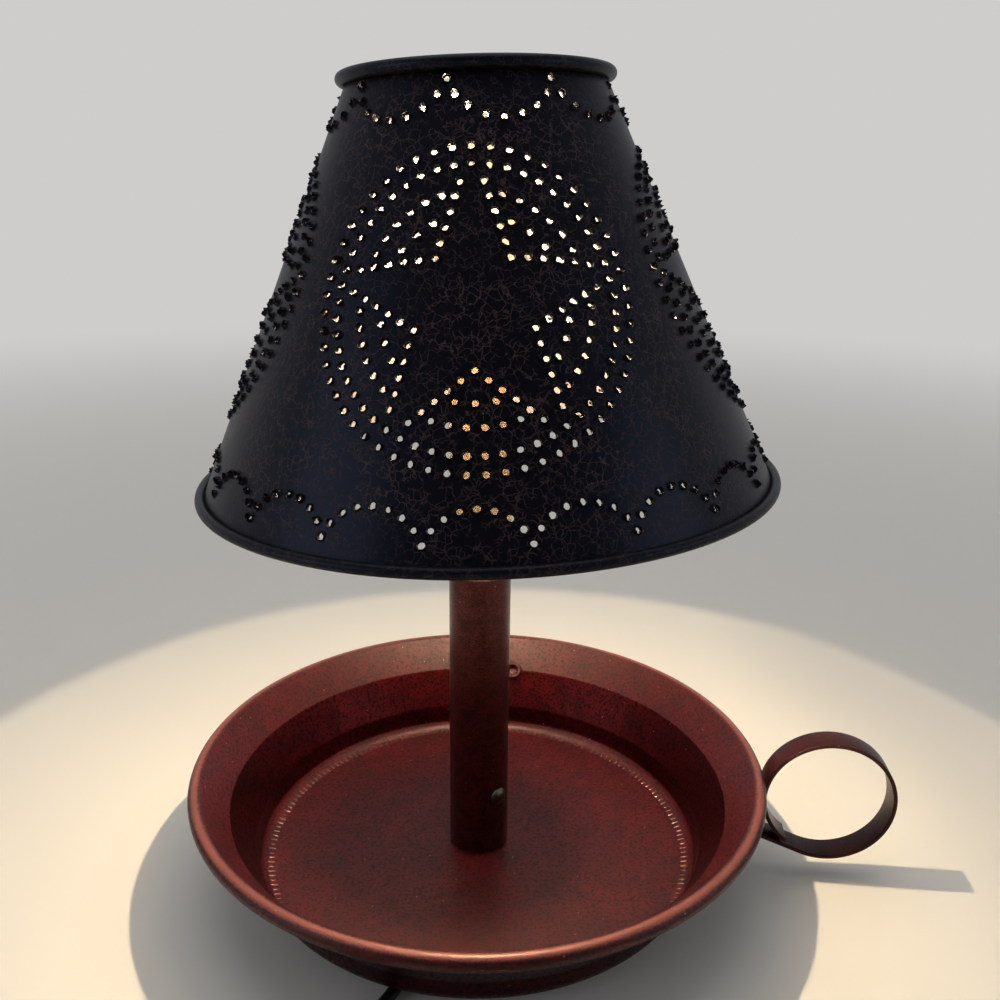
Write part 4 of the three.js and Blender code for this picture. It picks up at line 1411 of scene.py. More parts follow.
@dataclass
class Plug:
    """The two-pin plug with its tapered strain relief."""

    cord: CordRun
    length: float = 24
    width: float = 21
    height: float = 11
    neck: float = 12
    blade_gap: float = 12.7
    blade_length: float = 17.78
    blade_half: float = 0.75  # half its thickness
    blade_eye: float = 1.6
    root: float = 6
    ribs: int = 5

    def make(self, dresser: Dresser) -> list:
        """Makes the pieces and returns them.

        Args:
            dresser: dresses the pieces.

        Returns:
            The pieces.
        """
        place = ON_AXIS @ Matrix.Translation(self.cord.plug_at) @ rotate("Z", self.cord.plug_turn)
        front, half = self.length / 2, self.width / 2
        outline = drawn_in([
            (-front, -5, 2), (-front + 5, -half + 1.5, 4), (-front + 9, -half, 6), (front - 3, -half, 2),
            (front, -half + 2, 1.5), (front, half - 2, 1.5), (front - 3, half, 2), (-front + 9, half, 6),
            (-front + 5, half - 1.5, 4), (-front, 5, 2),
        ])
        body = edged(outline, -self.height / 2, self.height / 2, (2.2, 2.2))
        body = body.placed(place).named("plug_moulding")
        taper = [(0, -self.neck), (2.7, -self.neck, 0.2)]
        for i in range(self.ribs):
            start = -self.neck + 1.0 + i * 2.0
            wide = 3.05 + 0.17 * i
            taper += [(wide, start, 0.2), (wide + 0.1, start + 1.3, 0.2)]
            taper += [(wide - 0.35, start + 1.4), (wide - 0.3, start + 1.9)]
        taper += [(4.2, -0.8, 0.3), (4.2, 2), (0, 2)]
        lie_down = shift(-front, 0, 0) @ rotate("Y", pi / 2)
        carve(body, spun(rounded(taper, 2), 40).placed(place @ lie_down), "UNION")
        blades = []
        for name, node, side, height in (
            ("blade_line", "plug_blade_line", -1, 6.35),
            ("blade_neutral", "plug_blade_neutral", 1, 7.9),
        ):
            y = side * self.blade_gap / 2
            start, end = front - self.root + GAP, front + self.blade_length
            rim, heel, thick = height / 2 + GAP, start - 2 * GAP, self.blade_half
            slot = [(heel, -rim), (end, -rim), (end, rim), (heel, rim)]
            stand = shift(0, y, 0) @ rotate("X", pi / 2)
            carve(body, lofted([
                [Vector((u, v, d)) for u, v in slot] for d in (-thick - GAP, thick + GAP)
            ]).placed(place @ stand))
            flat = drawn_in([
                (start, -height / 2), (end - 1.5, -height / 2, 0.6), (end, -height / 2 + 1.8, 0.6),
                (end, height / 2 - 1.8, 0.6), (end - 1.5, height / 2, 0.6), (start, height / 2),
            ])
            blade = edged(flat, -thick, thick, (0.25, 0.25)).placed(place @ stand).named(name)
            eye = front + self.blade_length - 4.5
            carve(blade, rod(self.blade_eye, (eye, 0, -2), (eye, 0, 2), 28).placed(place @ stand))
            blades.append(dresser.dress(blade, BRASS, "base", [node]))
        dresser.dress(body, BLACK_PLASTIC, "base", ["plug_body"])
        return [body, *blades]


# Base


@dataclass
class Tray:
    """The spun tray with its rolled lip, crimped floor edge, wall eyelet and rubber pads."""

    sheet: float = 0.8
    lift: float = 5.5
    hub: float = 6.3
    floor_radius: float = 78
    corner_radius: float = 6
    waist: tuple[float, float] = (84.8, 16.5)
    corner: tuple[float, float] = (93.0, 31.3)
    crease: tuple[float, float] = (101.9, 40.5)
    lip_radius: float = 2.7
    lip_tuck: float = radians(200)
    lip_ease: float = radians(58)  # how much later the flare meets the lip, so that no groove is left
    lip_end: float = radians(-112)
    crimps: int = 188
    crimp_slope: float = radians(16)
    eyelet_turn: float = radians(9.8)
    eyelet_bore: float = 2.9
    pad_radius: float = 5
    pad_height: float = 5.2
    pad_circle: float = 68
    pads: int = 4

    @property
    def lip_line(self) -> float:
        """Radius of the rolled lip, at the middle of its sheet."""
        return self.lip_radius - self.sheet / 2

    @property
    def lip_centre(self) -> tuple[float, float]:
        """Middle of the rolled lip."""
        return (
            self.crease[0] - self.lip_line * cos(self.lip_tuck),
            self.crease[1] - self.lip_line * sin(self.lip_tuck),
        )

    def profile(self) -> list[Vector]:
        """The middle line of the sheet, from the hub to the tucked edge of the lip.

        Returns:
            The line's points, as (radius, height).
        """
        floor = self.lift + self.sheet / 2
        bend = arc(self.floor_radius, floor + self.corner_radius, self.corner_radius, -pi / 2, -0.12, 12)
        line = [(self.hub, floor), (40, floor), *bend]
        lip = arc(*self.lip_centre, self.lip_line, self.lip_tuck - self.lip_ease, self.lip_end, 26)
        line += rounded([bend[-1], (*self.waist, 5), (*self.corner, 7), lip[0]], 6)[1:-1]
        line += lip
        return [Vector(point) for point in line]

    def outline(self) -> Points:
        """The sheet in section.

        Returns:
            The outline's points, as (radius, height).
        """
        line = self.profile()
        sides: tuple[list, list] = ([], [])
        for i, point in enumerate(line):
            into = (point - line[i - 1]).normalized() if i else (line[1] - point).normalized()
            out = (line[i + 1] - point).normalized() if i < len(line) - 1 else into
            along = (into + out).normalized()
            offset = Vector((-along.y, along.x)) * (self.sheet / 2 / max(along.dot(out), 0.5))
            sides[0].append(tuple(point - offset))
            sides[1].append(tuple(point + offset))
        return [*sides[0], *reversed(sides[1])]

    def at_eyelet(self) -> Matrix:
        """Places what sits square to the wall's bend.

        Returns:
            The matrix.
        """
        lower = atan2(self.corner[1] - self.waist[1], self.corner[0] - self.waist[0])
        upper = atan2(self.crease[1] - self.corner[1], self.crease[0] - self.corner[0])
        return (
            ON_AXIS
            @ rotate("Z", pi / 2 - self.eyelet_turn)
            @ shift(self.corner[0], 0, self.corner[1])
            @ rotate("Y", -(lower + upper) / 2)
        )

    def make(self, dresser: Dresser) -> None:
        """Makes the tray and what it carries.

        Args:
            dresser: dresses the pieces.
        """
        pan = spun(self.outline(), 256).placed(ON_AXIS).named("spun_tray")
        carve(pan, rod(self.eyelet_bore, (0, 0, -2.4), (0, 0, 2.4), 40).placed(self.at_eyelet()))
        lip_x, lip_z = self.lip_centre

        def rub_and_highlight(point: Vector) -> float:
            """The lip's crown gets wear and a painted highlight, the wall painted shade in deep red.

            Args:
                point: a point of the tray.

            Returns:
                The share, or -1 on the wall, where the shade is painted.
            """
            radius = hypot(point.x - AXIS, point.y)
            # painted shade on the wall, between the floor's bend and the corner
            if self.floor_radius + self.corner_radius - 1 < radius < self.corner[0] - 0.1:
                return -1.0
            # wear and a painted highlight along the lip's crown
            crown = atan2(point.z - lip_z, radius - lip_x) if radius > self.crease[0] - 1 else -9
            return 0.8 * exp(-((crown - 1.4) / 0.9) ** 2)

        paint_wear_and_light(pan, rub_and_highlight)
        dresser.dress(pan, TRAY_ENAMEL, "base", ["tray"])

        slope = self.crimp_slope
        reach = self.corner_radius - self.sheet / 2
        ridge = spun([
            (0, -2.0), (0.26, -1.8), (0.48, -0.8), (0.52, 0.2), (0.4, 1.3), (0.22, 1.8), (0, 2.0),
        ], 8).placed(rotate("Y", -slope) @ rotate("Y", pi / 2))
        crimps = ring_of("tray_crimps", ridge, CRIMP_ENAMEL, {
            "Count": self.crimps, "Radius": (self.floor_radius + reach * sin(slope)) * MM,
            "Height": (self.lift + self.sheet / 2 + self.corner_radius - reach * cos(slope) - 0.12) * MM,
            "Least Size": 0.6, "Seed": 11,
        })
        crimps.data.transform(shift(AXIS * MM, 0, 0))
        dresser.dress(crimps, CRIMP_ENAMEL, "base")

        front, back = self.sheet / 2 + GAP, -1.5
        eyelet = spun(rounded([
            (0, back - 0.7), (3.6, back - 0.7, 0.3), (3.6, back, 0.2), (2.6, back), (2.6, front),
            (4.4, front, 0.15), (3.8, front + 0.7, 0.35), (2.4, front + 0.7, 0.5), (1.9, front, 0.4),
            (1.9, back, 0.5), (0, back),
        ]), 56).placed(self.at_eyelet()).named("eyelet_ring")
        dresser.dress(eyelet, TRAY_ENAMEL, "base", ["wall_eyelet"])

        top = self.pad_height
        side = [(self.pad_radius, 0, 0.6), (self.pad_radius - 0.8, top, 0.5)]
        pad = spun(rounded([(0, 0), *side, (0, top)]), 40)
        for i in range(self.pads):
            a = tau * (i + 0.5) / self.pads
            where = ON_AXIS @ shift(self.pad_circle * cos(a), self.pad_circle * sin(a), 0)
            item = pad.placed(where).named(f"rubber_pad_{i + 1}")
            dresser.dress(item, RUBBER, "base", [f"foot_pad_{i + 1}"])


@dataclass
class RingHandle:
    """The strap that is welded to the wall and led round into a finger ring."""

    tray: Tray
    width: float = 10
    sheet: float = 1.5
    ring_radius: float = 24.4
    ring_height: float = 34
    ring_reach: float = 24.2
    turn: float = radians(-6)
    end_inset: float = 1.1
    foot_length: float = 11
    foot_rise: float = 0.12  # where its heel lies on the wall, as a share of the wall's rise
    last: float = radians(230)
    steps: int = 110

    def line(self) -> list[Vector]:
        """The middle line of the strap, as (outwards, up).

        Returns:
            The line's points.
        """
        waist, corner = self.tray.waist, self.tray.corner
        run, rise = corner[0] - waist[0], corner[1] - waist[1]
        wall = atan2(rise, run)
        clear = self.tray.sheet / 2 + GAP + self.sheet / 2
        heel = Vector((
            waist[0] + clear / sin(wall) + self.foot_rise * run, waist[1] + self.foot_rise * rise,
        ))
        toe = heel + Vector((cos(wall), sin(wall))) * self.foot_length
        lip_edge = self.tray.lip_centre[0] + self.tray.lip_radius
        elbow = Vector((lip_edge - 1.6, heel.y + 0.4))
        centre = Vector((lip_edge + self.ring_reach, self.ring_height))
        radius = self.ring_radius - self.sheet / 2
        fall = atan2(centre.y - elbow.y, centre.x - elbow.x) - asin(radius / (centre - elbow).length)
        start, end = fall - pi / 2, self.last
        ring = []
        for i in range(self.steps + 1):
            a = start + (end - start) * i / self.steps
            drawn = radius - self.end_inset * max(0.0, (a - pi) / (end - pi))
            ring.append((centre.x + drawn * cos(a), centre.y + drawn * sin(a)))
        foot = [tuple(toe), (heel.x, heel.y, 1.6), (heel.x + 1.5, heel.y - 0.6, 2.2), (*elbow, 6)]
        return [Vector(point) for point in rounded([*foot, *ring], 5)]

    def make(self, dresser: Dresser) -> None:
        """Makes the strap.

        Args:
            dresser: dresses the pieces.
        """
        half = self.width / 2
        section = bar(half, self.sheet / 2, 0.45)
        path = [Vector((u, 0, v)) for u, v in self.line()]
        place = ON_AXIS @ rotate("Z", self.turn)
        strap = swept(path, section, Vector((0, 1, 0))).placed(place).named("ring_strap")
        inverse = place.inverted()

        def rub_and_highlight(point: Vector) -> float:
            """The strap's edges and the top of its ring are worn.

            Args:
                point: a point of the strap.

            Returns:
                The share.
            """
            local = inverse @ point
            crown = max(0.0, (local.z - self.ring_height) / self.ring_radius)
            return 0.5 * (abs(local.y) / half) ** 6 + 0.25 * crown ** 3

        paint_wear_and_light(strap, rub_and_highlight)
        dresser.dress(strap, STRAP_ENAMEL, "base", ["handle_ring"])


@dataclass
class CandleTube:
    """The candle tube with its set screw, and the post that it stands on."""

    radius: float = 11.1
    wall: float = 0.8
    foot: float = 6.6
    length: float = 187
    screw_rise: float = 24.3
    screw_turn: float = radians(38)
    screw_head: float = 3.2
    slot_turn: float = radians(62)
    pale_from: float = 117
    pale_over: float = 3

    def make(self, dresser: Dresser) -> None:
        """Makes the tube and its screw.

        Args:
            dresser: dresses the pieces.
        """
        top = self.foot + self.length
        inner = self.radius - self.wall
        tube = spun(rounded([
            (inner, self.foot, 0.2), (self.radius, self.foot, 0.3), (self.radius, self.pale_from),
            (self.radius, self.pale_from + self.pale_over), (self.radius, top, 0.35), (inner, top, 0.25),
        ]), 128).placed(ON_AXIS).named("candle_sleeve")
        face = (
            ON_AXIS
            @ shift(0, 0, self.foot + self.screw_rise)
            @ rotate("Z", self.screw_turn - pi / 2)
            @ rotate("Y", pi / 2)
        )
        carve(tube, rod(1.8, (0, 0, self.radius - 4), (0, 0, self.radius + 3), 36).placed(face))

        def rub_and_highlight(point: Vector) -> float:
            """The tube is pale above where the shade hides it."""
            return min(max((point.z - self.pale_from) / self.pale_over, 0.0), 1.0)

        paint_wear_and_light(tube, rub_and_highlight)
        dresser.dress(tube, TUBE_ENAMEL, "base", ["candle_tube"])

        seat = self.radius + GAP
        head = spun(rounded([
            (0, 5.35), (1.5, 5.35, 0.2), (1.5, seat), (self.screw_head, seat, 0.25),
            (self.screw_head, seat + 0.9, 0.7), (1.9, seat + 2.0, 1.5), (0, seat + 2.2),
        ], 5), 48).placed(face).named("set_screw")
        slot = edged(stadium(9, 0.9), seat + 1.25, seat + 4, (0.05, 0.05))
        carve(head, slot.placed(face @ rotate("Z", self.slot_turn)))
        dresser.dress(head, SCREW_ENAMEL, "base", ["tube_screw"])
        dresser.refinish(STEEL, "tube_post", "riser_pipe")
        dresser.refinish(BRASS, "pipe_locknut")
        dresser.refinish(PHENOLIC, "cord_bushing")


@dataclass
class SmallSocket:
    """The candelabra socket in the tube's top."""

    top: float = 192.6
    foot: float = 157.6
    radius: float = 9.1
    well: float = 6.8
    well_foot: float = 171.6
    lead_hole: float = 1.15
    lead_offset: float = 1.3

    def make(self, dresser: Dresser) -> None:
        """Makes the socket's body and finishes its fittings.

        Args:
            dresser: dresses the pieces.
        """
        body = spun(rounded([
            (0, self.foot), (self.radius, self.foot, 0.5), (self.radius, self.top, 0.4),
            (self.well, self.top, 0.4), (self.well, self.well_foot), (0, self.well_foot),
        ]), 64).placed(ON_AXIS).named("socket_moulding")
        for x in (-self.lead_offset, self.lead_offset):
            hole = rod(self.lead_hole, (x, 0, self.foot - 1), (x, 0, self.foot + 6.3), 20)
            carve(body, hole.placed(ON_AXIS))
        dresser.dress(body, PHENOLIC, "base", ["socket_body"])
        dresser.refinish(STEEL, "socket_cup")
        dresser.refinish(BRASS, "socket_shell", "socket_contact")
        dresser.refinish(VINYL, "lead_line", "lead_neutral")


# Bulb and clip


@dataclass
class Bulb:
    """The clear bulb with its screw cap, stem and filament."""

    seat: float = 194.1
    length: float = 78
    radius: float = 16.5
    wall: float = 0.7
    cap_radius: float = 5.85
    cap_length: float = 15.5
    widest: float = 31
    thread_turns: float = 4.5
    thread_half: float = 0.16  # half its depth
    thread_rise: float = 11.2
    thread_steps: int = 32
    hot_rise: float = 45
    support_wire: float = 0.26
    coil_radius: float = 0.2
    coil_wire: float = 0.07
    coil_steps: int = 160  # over each half of the filament
    per_turn: int = 8
    power: float = 2.95
    glow: tuple[float, float, float] = (1.0, 0.80, 0.51)
    glow_radius: float = 0.003  # metres
    curve: tuple = (
        (0, 0.4), (0.08, 0.52), (0.2, 0.82), (0.3, 0.95), (0.4, 1), (0.52, 0.93), (0.65, 0.74),
        (0.78, 0.5), (0.9, 0.27), (0.97, 0.12),
    )

    def radius_at(self, height: float) -> float:
        """The glass's radius at a height over the cap.

        Args:
            height: how high over the cap.

        Returns:
            The radius.
        """
        share = height / self.length
        for (low, narrow), (high, wide) in zip(self.curve, self.curve[1:]):
            if high >= share:
                return self.radius * (narrow + (wide - narrow) * (share - low) / (high - low))
        return 0.0

    def make(self, dresser: Dresser) -> None:
        """Makes the bulb's pieces and its light.

        Args:
            dresser: dresses the pieces.
        """
        neck_radius, neck_foot = self.cap_radius - 0.4 - GAP, self.seat - 7
        tip = self.seat + self.length
        knots = [Vector((neck_radius, 0, self.seat - 1))]
        foot, rise = self.seat + GAP, self.length - GAP
        knots += [Vector((self.radius * r, 0, foot + s * rise)) for s, r in self.curve]
        flare = [(p.x, p.z) for p in through(knots, 5)]
        outer = [(neck_radius, neck_foot), *flare, (0.9, tip - 0.25), (0, tip)]
        inner = [(neck_radius - self.wall, neck_foot)]
        inner += [(max(r - self.wall, 0.3), z) for r, z in flare if z < tip - 3]
        inner.append((0, tip - 2.4))
        glass = spun([*reversed(inner), *outer], 56).placed(ON_AXIS).named("bulb_envelope")
        dresser.dress(glass, CLEAR_GLASS, "bulb", ["bulb_glass"], 80)
        glass.visible_shadow = False

        cap_foot = self.seat - self.cap_length
        thread = []
        for i in range(self.thread_steps + 1):
            share = i / self.thread_steps
            depth = self.thread_half + self.thread_half * cos(tau * share * self.thread_turns)
            thread.append((self.cap_radius - depth, cap_foot + 1.6 + share * self.thread_rise))
        wide = self.cap_radius
        cap = spun([
            (3, cap_foot), (wide - 1, cap_foot), (wide - 0.3, cap_foot + 1.1), *thread,
            (wide, self.seat - 1.4), (wide, self.seat), (wide - 0.4, self.seat),
            (wide - 0.42, cap_foot + 1.8), (3, cap_foot + 0.4),
        ], 56).placed(ON_AXIS).named("screw_cap")
        dresser.dress(cap, BRASS, "bulb", ["bulb_cap"])
        dresser.refinish(PHENOLIC, "bulb_insulator")
        dresser.refinish(STEEL, "bulb_contact")

        stem_top = self.seat + self.widest * 0.85
        stem = spun(rounded([
            (0, neck_foot + 1), (neck_radius - self.wall - GAP, neck_foot + 1, 0.4), (2, neck_foot + 9, 3),
            (1.6, stem_top, 1), (0, stem_top + 1.6),
        ]), 32).placed(ON_AXIS).named("glass_stem")
        dresser.dress(stem, CLEAR_GLASS, "bulb", ["bulb_stem"], 60)
        stem.visible_shadow = False
        self.filament(dresser, stem_top)

    def filament(self, dresser: Dresser, stem_top: float) -> None:
        """Makes the two leads, the coiled filament and the light that it gives.

        Args:
            dresser: dresses the pieces.
            stem_top: height of the stem's top.
        """
        hot = self.seat + self.hot_rise
        ends = [Vector((6.6, -3, hot)), Vector((0.6, 4.5, hot))]
        roots = [Vector((2.4, -2.2, stem_top - 6)), Vector((-0.4, 2.6, stem_top - 6))]
        for i, (root, end) in enumerate(zip(roots, ends)):
            knots = [root, Vector((end.x * 0.9, end.y, hot - 8)), Vector((end.x, end.y, hot - 1))]
            lead = swept(through(knots, 8), circle(self.support_wire, 10)).placed(ON_AXIS)
            dresser.dress(lead.named(f"support_wire_{i + 1}"), STEEL, "bulb", [f"filament_lead_{i + 1}"])
        line = through([ends[0], Vector((3.2, 0, hot + 10.5)), ends[1]], self.coil_steps)
        coil = []
        along = (line[-1] - line[0]).normalized()
        for i, point in enumerate(line):
            ahead = (line[min(i + 1, len(line) - 1)] - line[max(i - 1, 0)]).normalized()
            first = ahead.cross(along).normalized()
            second = ahead.cross(first)
            a = tau * i / self.per_turn
            coil.append(point + first * self.coil_radius * cos(a) + second * self.coil_radius * sin(a))
        wire = swept(coil, circle(self.coil_wire, 5)).placed(ON_AXIS).named("coiled_filament")
        dresser.dress(wire, HOT_WIRE, "bulb", ["filament"])

        lamp = into_scene("bulb_light", bpy.data.lights.new("bulb_light", "POINT"))
        lamp.data.energy, lamp.data.color = self.power, self.glow
        lamp.data.shadow_soft_size = self.glow_radius
        lamp.location = (ON_AXIS @ Vector((3.2, 0, hot + 2))) * MM


@dataclass
class BulbClip:
    """Two wire loops that straddle the glass, and the saddle that carries the pivot pin."""

    bulb: Bulb
    wire: float = 0.75
    spread: float = radians(42)
    saddle_length: float = 9
    saddle_width: float = 7
    sheet: float = 1
    pin_x: float = -1.94
    pin_z: float = 277.5
    pin_bore: float = 1.4
    saddle_foot: float = 273.3
    saddle_half: float = 2.5  # half the width of its cheeks

    def make(self, dresser: Dresser) -> None:
        """Makes the loops and the saddle.

        Args:
            dresser: dresses the pieces.
        """
        for name, side in (("left", -1), ("right", 1)):
            loop = swept(through(self.loop(side), 8), circle(self.wire, 14)).placed(ON_AXIS)
            dresser.dress(loop.named(f"wire_loop_{name}"), STEEL, "clip", [f"clip_loop_{name}"])
        y = (self.saddle_length - self.sheet) / 2
        low, high = self.saddle_foot + self.sheet / 2, self.pin_z + 2.4
        path = rounded([(-y, high), (-y, low, 1.0), (y, low, 1.0), (y, high)], 6)
        section = bar(self.saddle_half, self.sheet / 2, 0.25, 3)
        saddle = swept([Vector((0, u, v)) for u, v in path], section, Vector((1, 0, 0)))
        place = ON_AXIS @ shift(self.pin_x, 0, 0)
        item = saddle.placed(place).named("clip_bridge")
        foot = self.saddle_foot
        wings = edged(stadium(self.saddle_width, 3.4), foot, foot + self.sheet, (0.25, 0.25))
        carve(item, wings.placed(place), "UNION")
        carve(item, rod(self.pin_bore, (0, -9, self.pin_z), (0, 9, self.pin_z), 28).placed(place))
        dresser.dress(item, STEEL, "clip", ["clip_saddle"])

    def loop(self, side: int) -> list[Vector]:
        """The points that one loop passes through.

        Args:
            side: -1 at the left, 1 at the right.

        Returns:
            The points.
        """
        glass = self.bulb

        def on_glass(height: float, turn: float) -> Vector:
            """A point of the wire on the glass."""
            radius = glass.radius_at(height) + self.wire + 1.6 * GAP
            return Vector((side * radius * cos(turn), radius * sin(turn), glass.seat + height))

        def seat(y: float) -> Vector:
            """Where the wire meets the saddle."""
            x = self.pin_x + side * (self.saddle_width / 2 + self.wire + GAP)
            return Vector((x, y, self.saddle_foot + self.sheet / 2))

        def leg(sign: int) -> list[Vector]:
            """The run down one side."""
            return [on_glass(s * glass.length, sign * self.spread) for s in (0.76, 0.62, 0.5)]

        foot = [on_glass(glass.widest + 2, s * self.spread) for s in (-0.8, -0.3, 0.3, 0.8)]
        end = self.saddle_length / 2 - 0.5
        return [seat(-end), *leg(-1), *foot, *reversed(leg(1)), seat(end)]


# Shade


class Hem(Enum):
    """The two rolled edges of the shade, with their radii."""

    CROWN = 2.0
    FOOT = 1.7


@dataclass
class PunchedShade:
    """The punched tin cone with its rolled edges, burrs, seam, crossbar and pivot pin.

    It is built upright about the pivot pin and then leaned. The holes are laid out on the flat pattern,
    as a tinsmith does, and rolled into the cone.
    """

    clip: BulbClip
    lean: float = radians(2.12)
    top_radius: float = 43.3
    bottom_radius: float = 98.1
    height: float = 129.5
    over_pin: float = 6
    sheet: float = 0.6
    segments: int = 192
    rows: int = 9
    medallions: int = 4
    first_turn: float = radians(-1.9)
    medallion_rise: float = 69.7
    outer_ring: tuple[float, int] = (44.4, 55)
    second_ring: tuple[float, int] = (39.5, 53)
    star_radius: float = 44.4
    star_pitch: float = 4.4
    star_dots: int = 6
    hole_radius: float = 0.95
    hole_sides: int = 9
    inner_arcs: tuple = ((32.0, 6, 8.6), (25.6, 3, 12.2))  # radius, dots, degrees between them
    foot_scallops: tuple = (20, 7.0, 16.6, 7)  # how many, rises of cusp and middle, dots in each
    crown_scallops: tuple = (9, 133.2, 122.2, 7)
    crown_turn: float = radians(9.3)
    burr_height: float = 0.75
    burr_wander: float = 0.22  # how far the torn tips bend aside, as a share of their raggedness
    seam_turn: float = radians(133.1)
    seam_width: float = 6
    bar_sheet: float = 1.0
    bar_width: float = 8

    def __post_init__(self) -> None:
        """Works out the cone from the hems."""
        crown, foot = Hem.CROWN.value, Hem.FOOT.value
        self.foot = Vector((self.bottom_radius - foot, self.over_pin - self.height + foot))
        self.crown = Vector((self.top_radius - crown, self.over_pin - crown))
        rise, run = self.crown.y - self.foot.y, self.foot.x - self.crown.x
        self.angle = atan2(run, rise) + asin((crown - foot) / hypot(run, rise))
        inset = foot - self.sheet / 2
        self.slant_bottom = (self.foot.x - inset * cos(self.angle)) / sin(self.angle)
        self.apex = self.foot.y - inset * sin(self.angle) + self.slant_bottom * cos(self.angle)
        self.place = ON_AXIS @ shift(self.clip.pin_x, 0, self.clip.pin_z) @ rotate("Y", -self.lean)

    # Layout of the holes

    def arc_dots(self, centre: float, radius: float, turns: Iterable[float]) -> Points:
        """Dots on a circle about a medallion's centre, by their turns from the top."""
        return [(radius * sin(a), centre - radius * cos(a)) for a in turns]

    def star(self, centre: float) -> Points:
        """Dots along the star's edges, from each inner corner towards the tips.

        Args:
            centre: the medallion's middle, from the apex.

        Returns:
            The dots.
        """
        waist = self.star_radius * cos(tau / 5) / cos(pi / 5)
        dots = []
        for tip in range(5):
            turn = tau * tip / 5
            end = Vector((sin(turn), -cos(turn))) * self.star_radius
            for side in (-1, 1):
                start_turn = turn + side * pi / 5
                start = Vector((sin(start_turn), -cos(start_turn))) * waist
                step = (end - start).normalized() * self.star_pitch
                for i in range(0 if side < 0 else 1, self.star_dots):
                    dot = start + step * i
                    dots.append((dot.x, centre + dot.y))
        return dots

    def medallion(self) -> Points:
        """All the dots of one medallion, on the flat pattern.

        Returns:
            The dots.
        """
        centre = self.slant_bottom - self.medallion_rise
        dots = self.star(centre)
        for radius, count in (self.outer_ring, self.second_ring):
            dots += self.arc_dots(centre, radius, (tau * i / count for i in range(count)))
        for sector in range(5):
            middle = tau * (sector + 0.5) / 5
            for radius, count, pitch in self.inner_arcs:
                turns = [middle + radians(pitch) * (i - (count - 1) / 2) for i in range(count)]
                dots += self.arc_dots(centre, radius, turns)
        return dots

    def scallop(self, count: int, cusp: float, crest: float, holes: int) -> Points:
        """One scallop from a cusp, as an arc on the flat pattern.

        Args:
            count: how many scallops go round.
            cusp: rise of its cusps up the slant.
            crest: rise of its middle.
            holes: how many dots lie between two cusps.

        Returns:
            The dots, with the first cusp and not the last.
        """
        half = pi / count * sin(self.angle)
        chord = (self.slant_bottom - cusp) * sin(half)
        level = (self.slant_bottom - cusp) * cos(half)
        rise = level - (self.slant_bottom - crest)
        radius = (chord * chord + rise * rise) / (2 * abs(rise))
        sign = 1 if rise > 0 else -1
        centre = self.slant_bottom - crest + sign * radius
        reach = atan2(chord, sign * (centre - level))
        turns = [-reach + 2 * reach * i / (holes + 1) for i in range(holes + 1)]
        return [(radius * sin(a), centre - sign * radius * cos(a)) for a in turns]

    def holes(self) -> Points:
        """Every hole as its turn about the shade and its slant from the apex.

        Returns:
            The holes.
        """

        def rolled(dots: Iterable[tuple[float, float]], turn: float) -> Points:
            """Rolls dots of the flat pattern into the cone."""
            return [(atan2(x, y) / sin(self.angle) + turn, hypot(x, y)) for x, y in dots]

        found = []
        medallion = self.medallion()
        for i in range(self.medallions):
            found += rolled(medallion, self.first_turn + tau * i / self.medallions)
        borders = (self.foot_scallops, self.first_turn), (self.crown_scallops, self.crown_turn)
        for scallops, start in borders:
            border, count = self.scallop(*scallops), scallops[0]
            for i in range(count):
                found += rolled(border, start + tau * i / count)
        return found

    def on_cone(self, turn: float, slant: float, proud: float = 0.0) -> Vector:
        """A point of the sheet's middle surface, or so far outside it.

        Args:
            turn: its turn about the shade.
            slant: its slant from the apex.
            proud: how far outside the sheet's middle.

        Returns:
            The point.
        """
        radius = slant * sin(self.angle) + proud * cos(self.angle)
        height = self.apex - slant * cos(self.angle) + proud * sin(self.angle)
        return Vector((radius * sin(turn), -radius * cos(turn), height))

    def facing(self, turn: float) -> Vector:
        """The way that the sheet faces."""
        level = cos(self.angle)
        return Vector((sin(turn) * level, -cos(turn) * level, sin(self.angle)))

    def hole_points(self) -> Item:
        """The holes' middles as bare points that know which way they face.

        Returns:
            An object that has no faces.
        """
        holes = self.holes()
        mesh = bpy.data.meshes.new("hole_points")
        mesh.from_pydata([self.on_cone(turn, slant) * MM for turn, slant in holes], [], [])
        aim = mesh.attributes.new("aim", "FLOAT_VECTOR", "POINT")
        aim.data.foreach_set("vector", [x for turn, _ in holes for x in self.facing(turn)])
        item = into_scene("hole_points", mesh)
        LOG.info("shade: %d holes", len(holes))
        return item

    # Sheet

    def hem(self, which: Hem, start: float, end: float) -> Points:
        """A rolled edge in section, between two angles from the way that the sheet faces.

        Args:
            which: the hem.
            start: the first angle.
            end: the last angle.

        Returns:
            The section's points, as (radius, height).
        """
        centre = self.foot if which is Hem.FOOT else self.crown
        cosine, sine = cos(self.angle), sin(self.angle)
        return [
            (centre.x + out * cosine - up * sine, centre.y + out * sine + up * cosine)
            for out, up in arc(0, 0, which.value, start, end, 22)
        ]

    def outline(self) -> Points:
        """The sheet and its hems in section.

        Returns:
            The outline's points, as (radius, height).
        """

        def meets(which: Hem) -> float:
            """The angle at which a hem's curve meets the sheet's face."""
            return acos((self.sheet - which.value) / which.value)

        def rows(start: tuple[float, float], end: tuple[float, float]) -> Points:
            """Points between two ends of the sheet."""
            shares = [i / self.rows for i in range(1, self.rows)]
            return [tuple(Vector(start).lerp(Vector(end), s)) for s in shares]

        foot = self.hem(Hem.FOOT, pi, tau + meets(Hem.FOOT))
        crown = self.hem(Hem.CROWN, -meets(Hem.CROWN), pi)
        return [*foot, *rows(foot[-1], crown[0]), *crown, *rows(crown[-1], foot[0])]

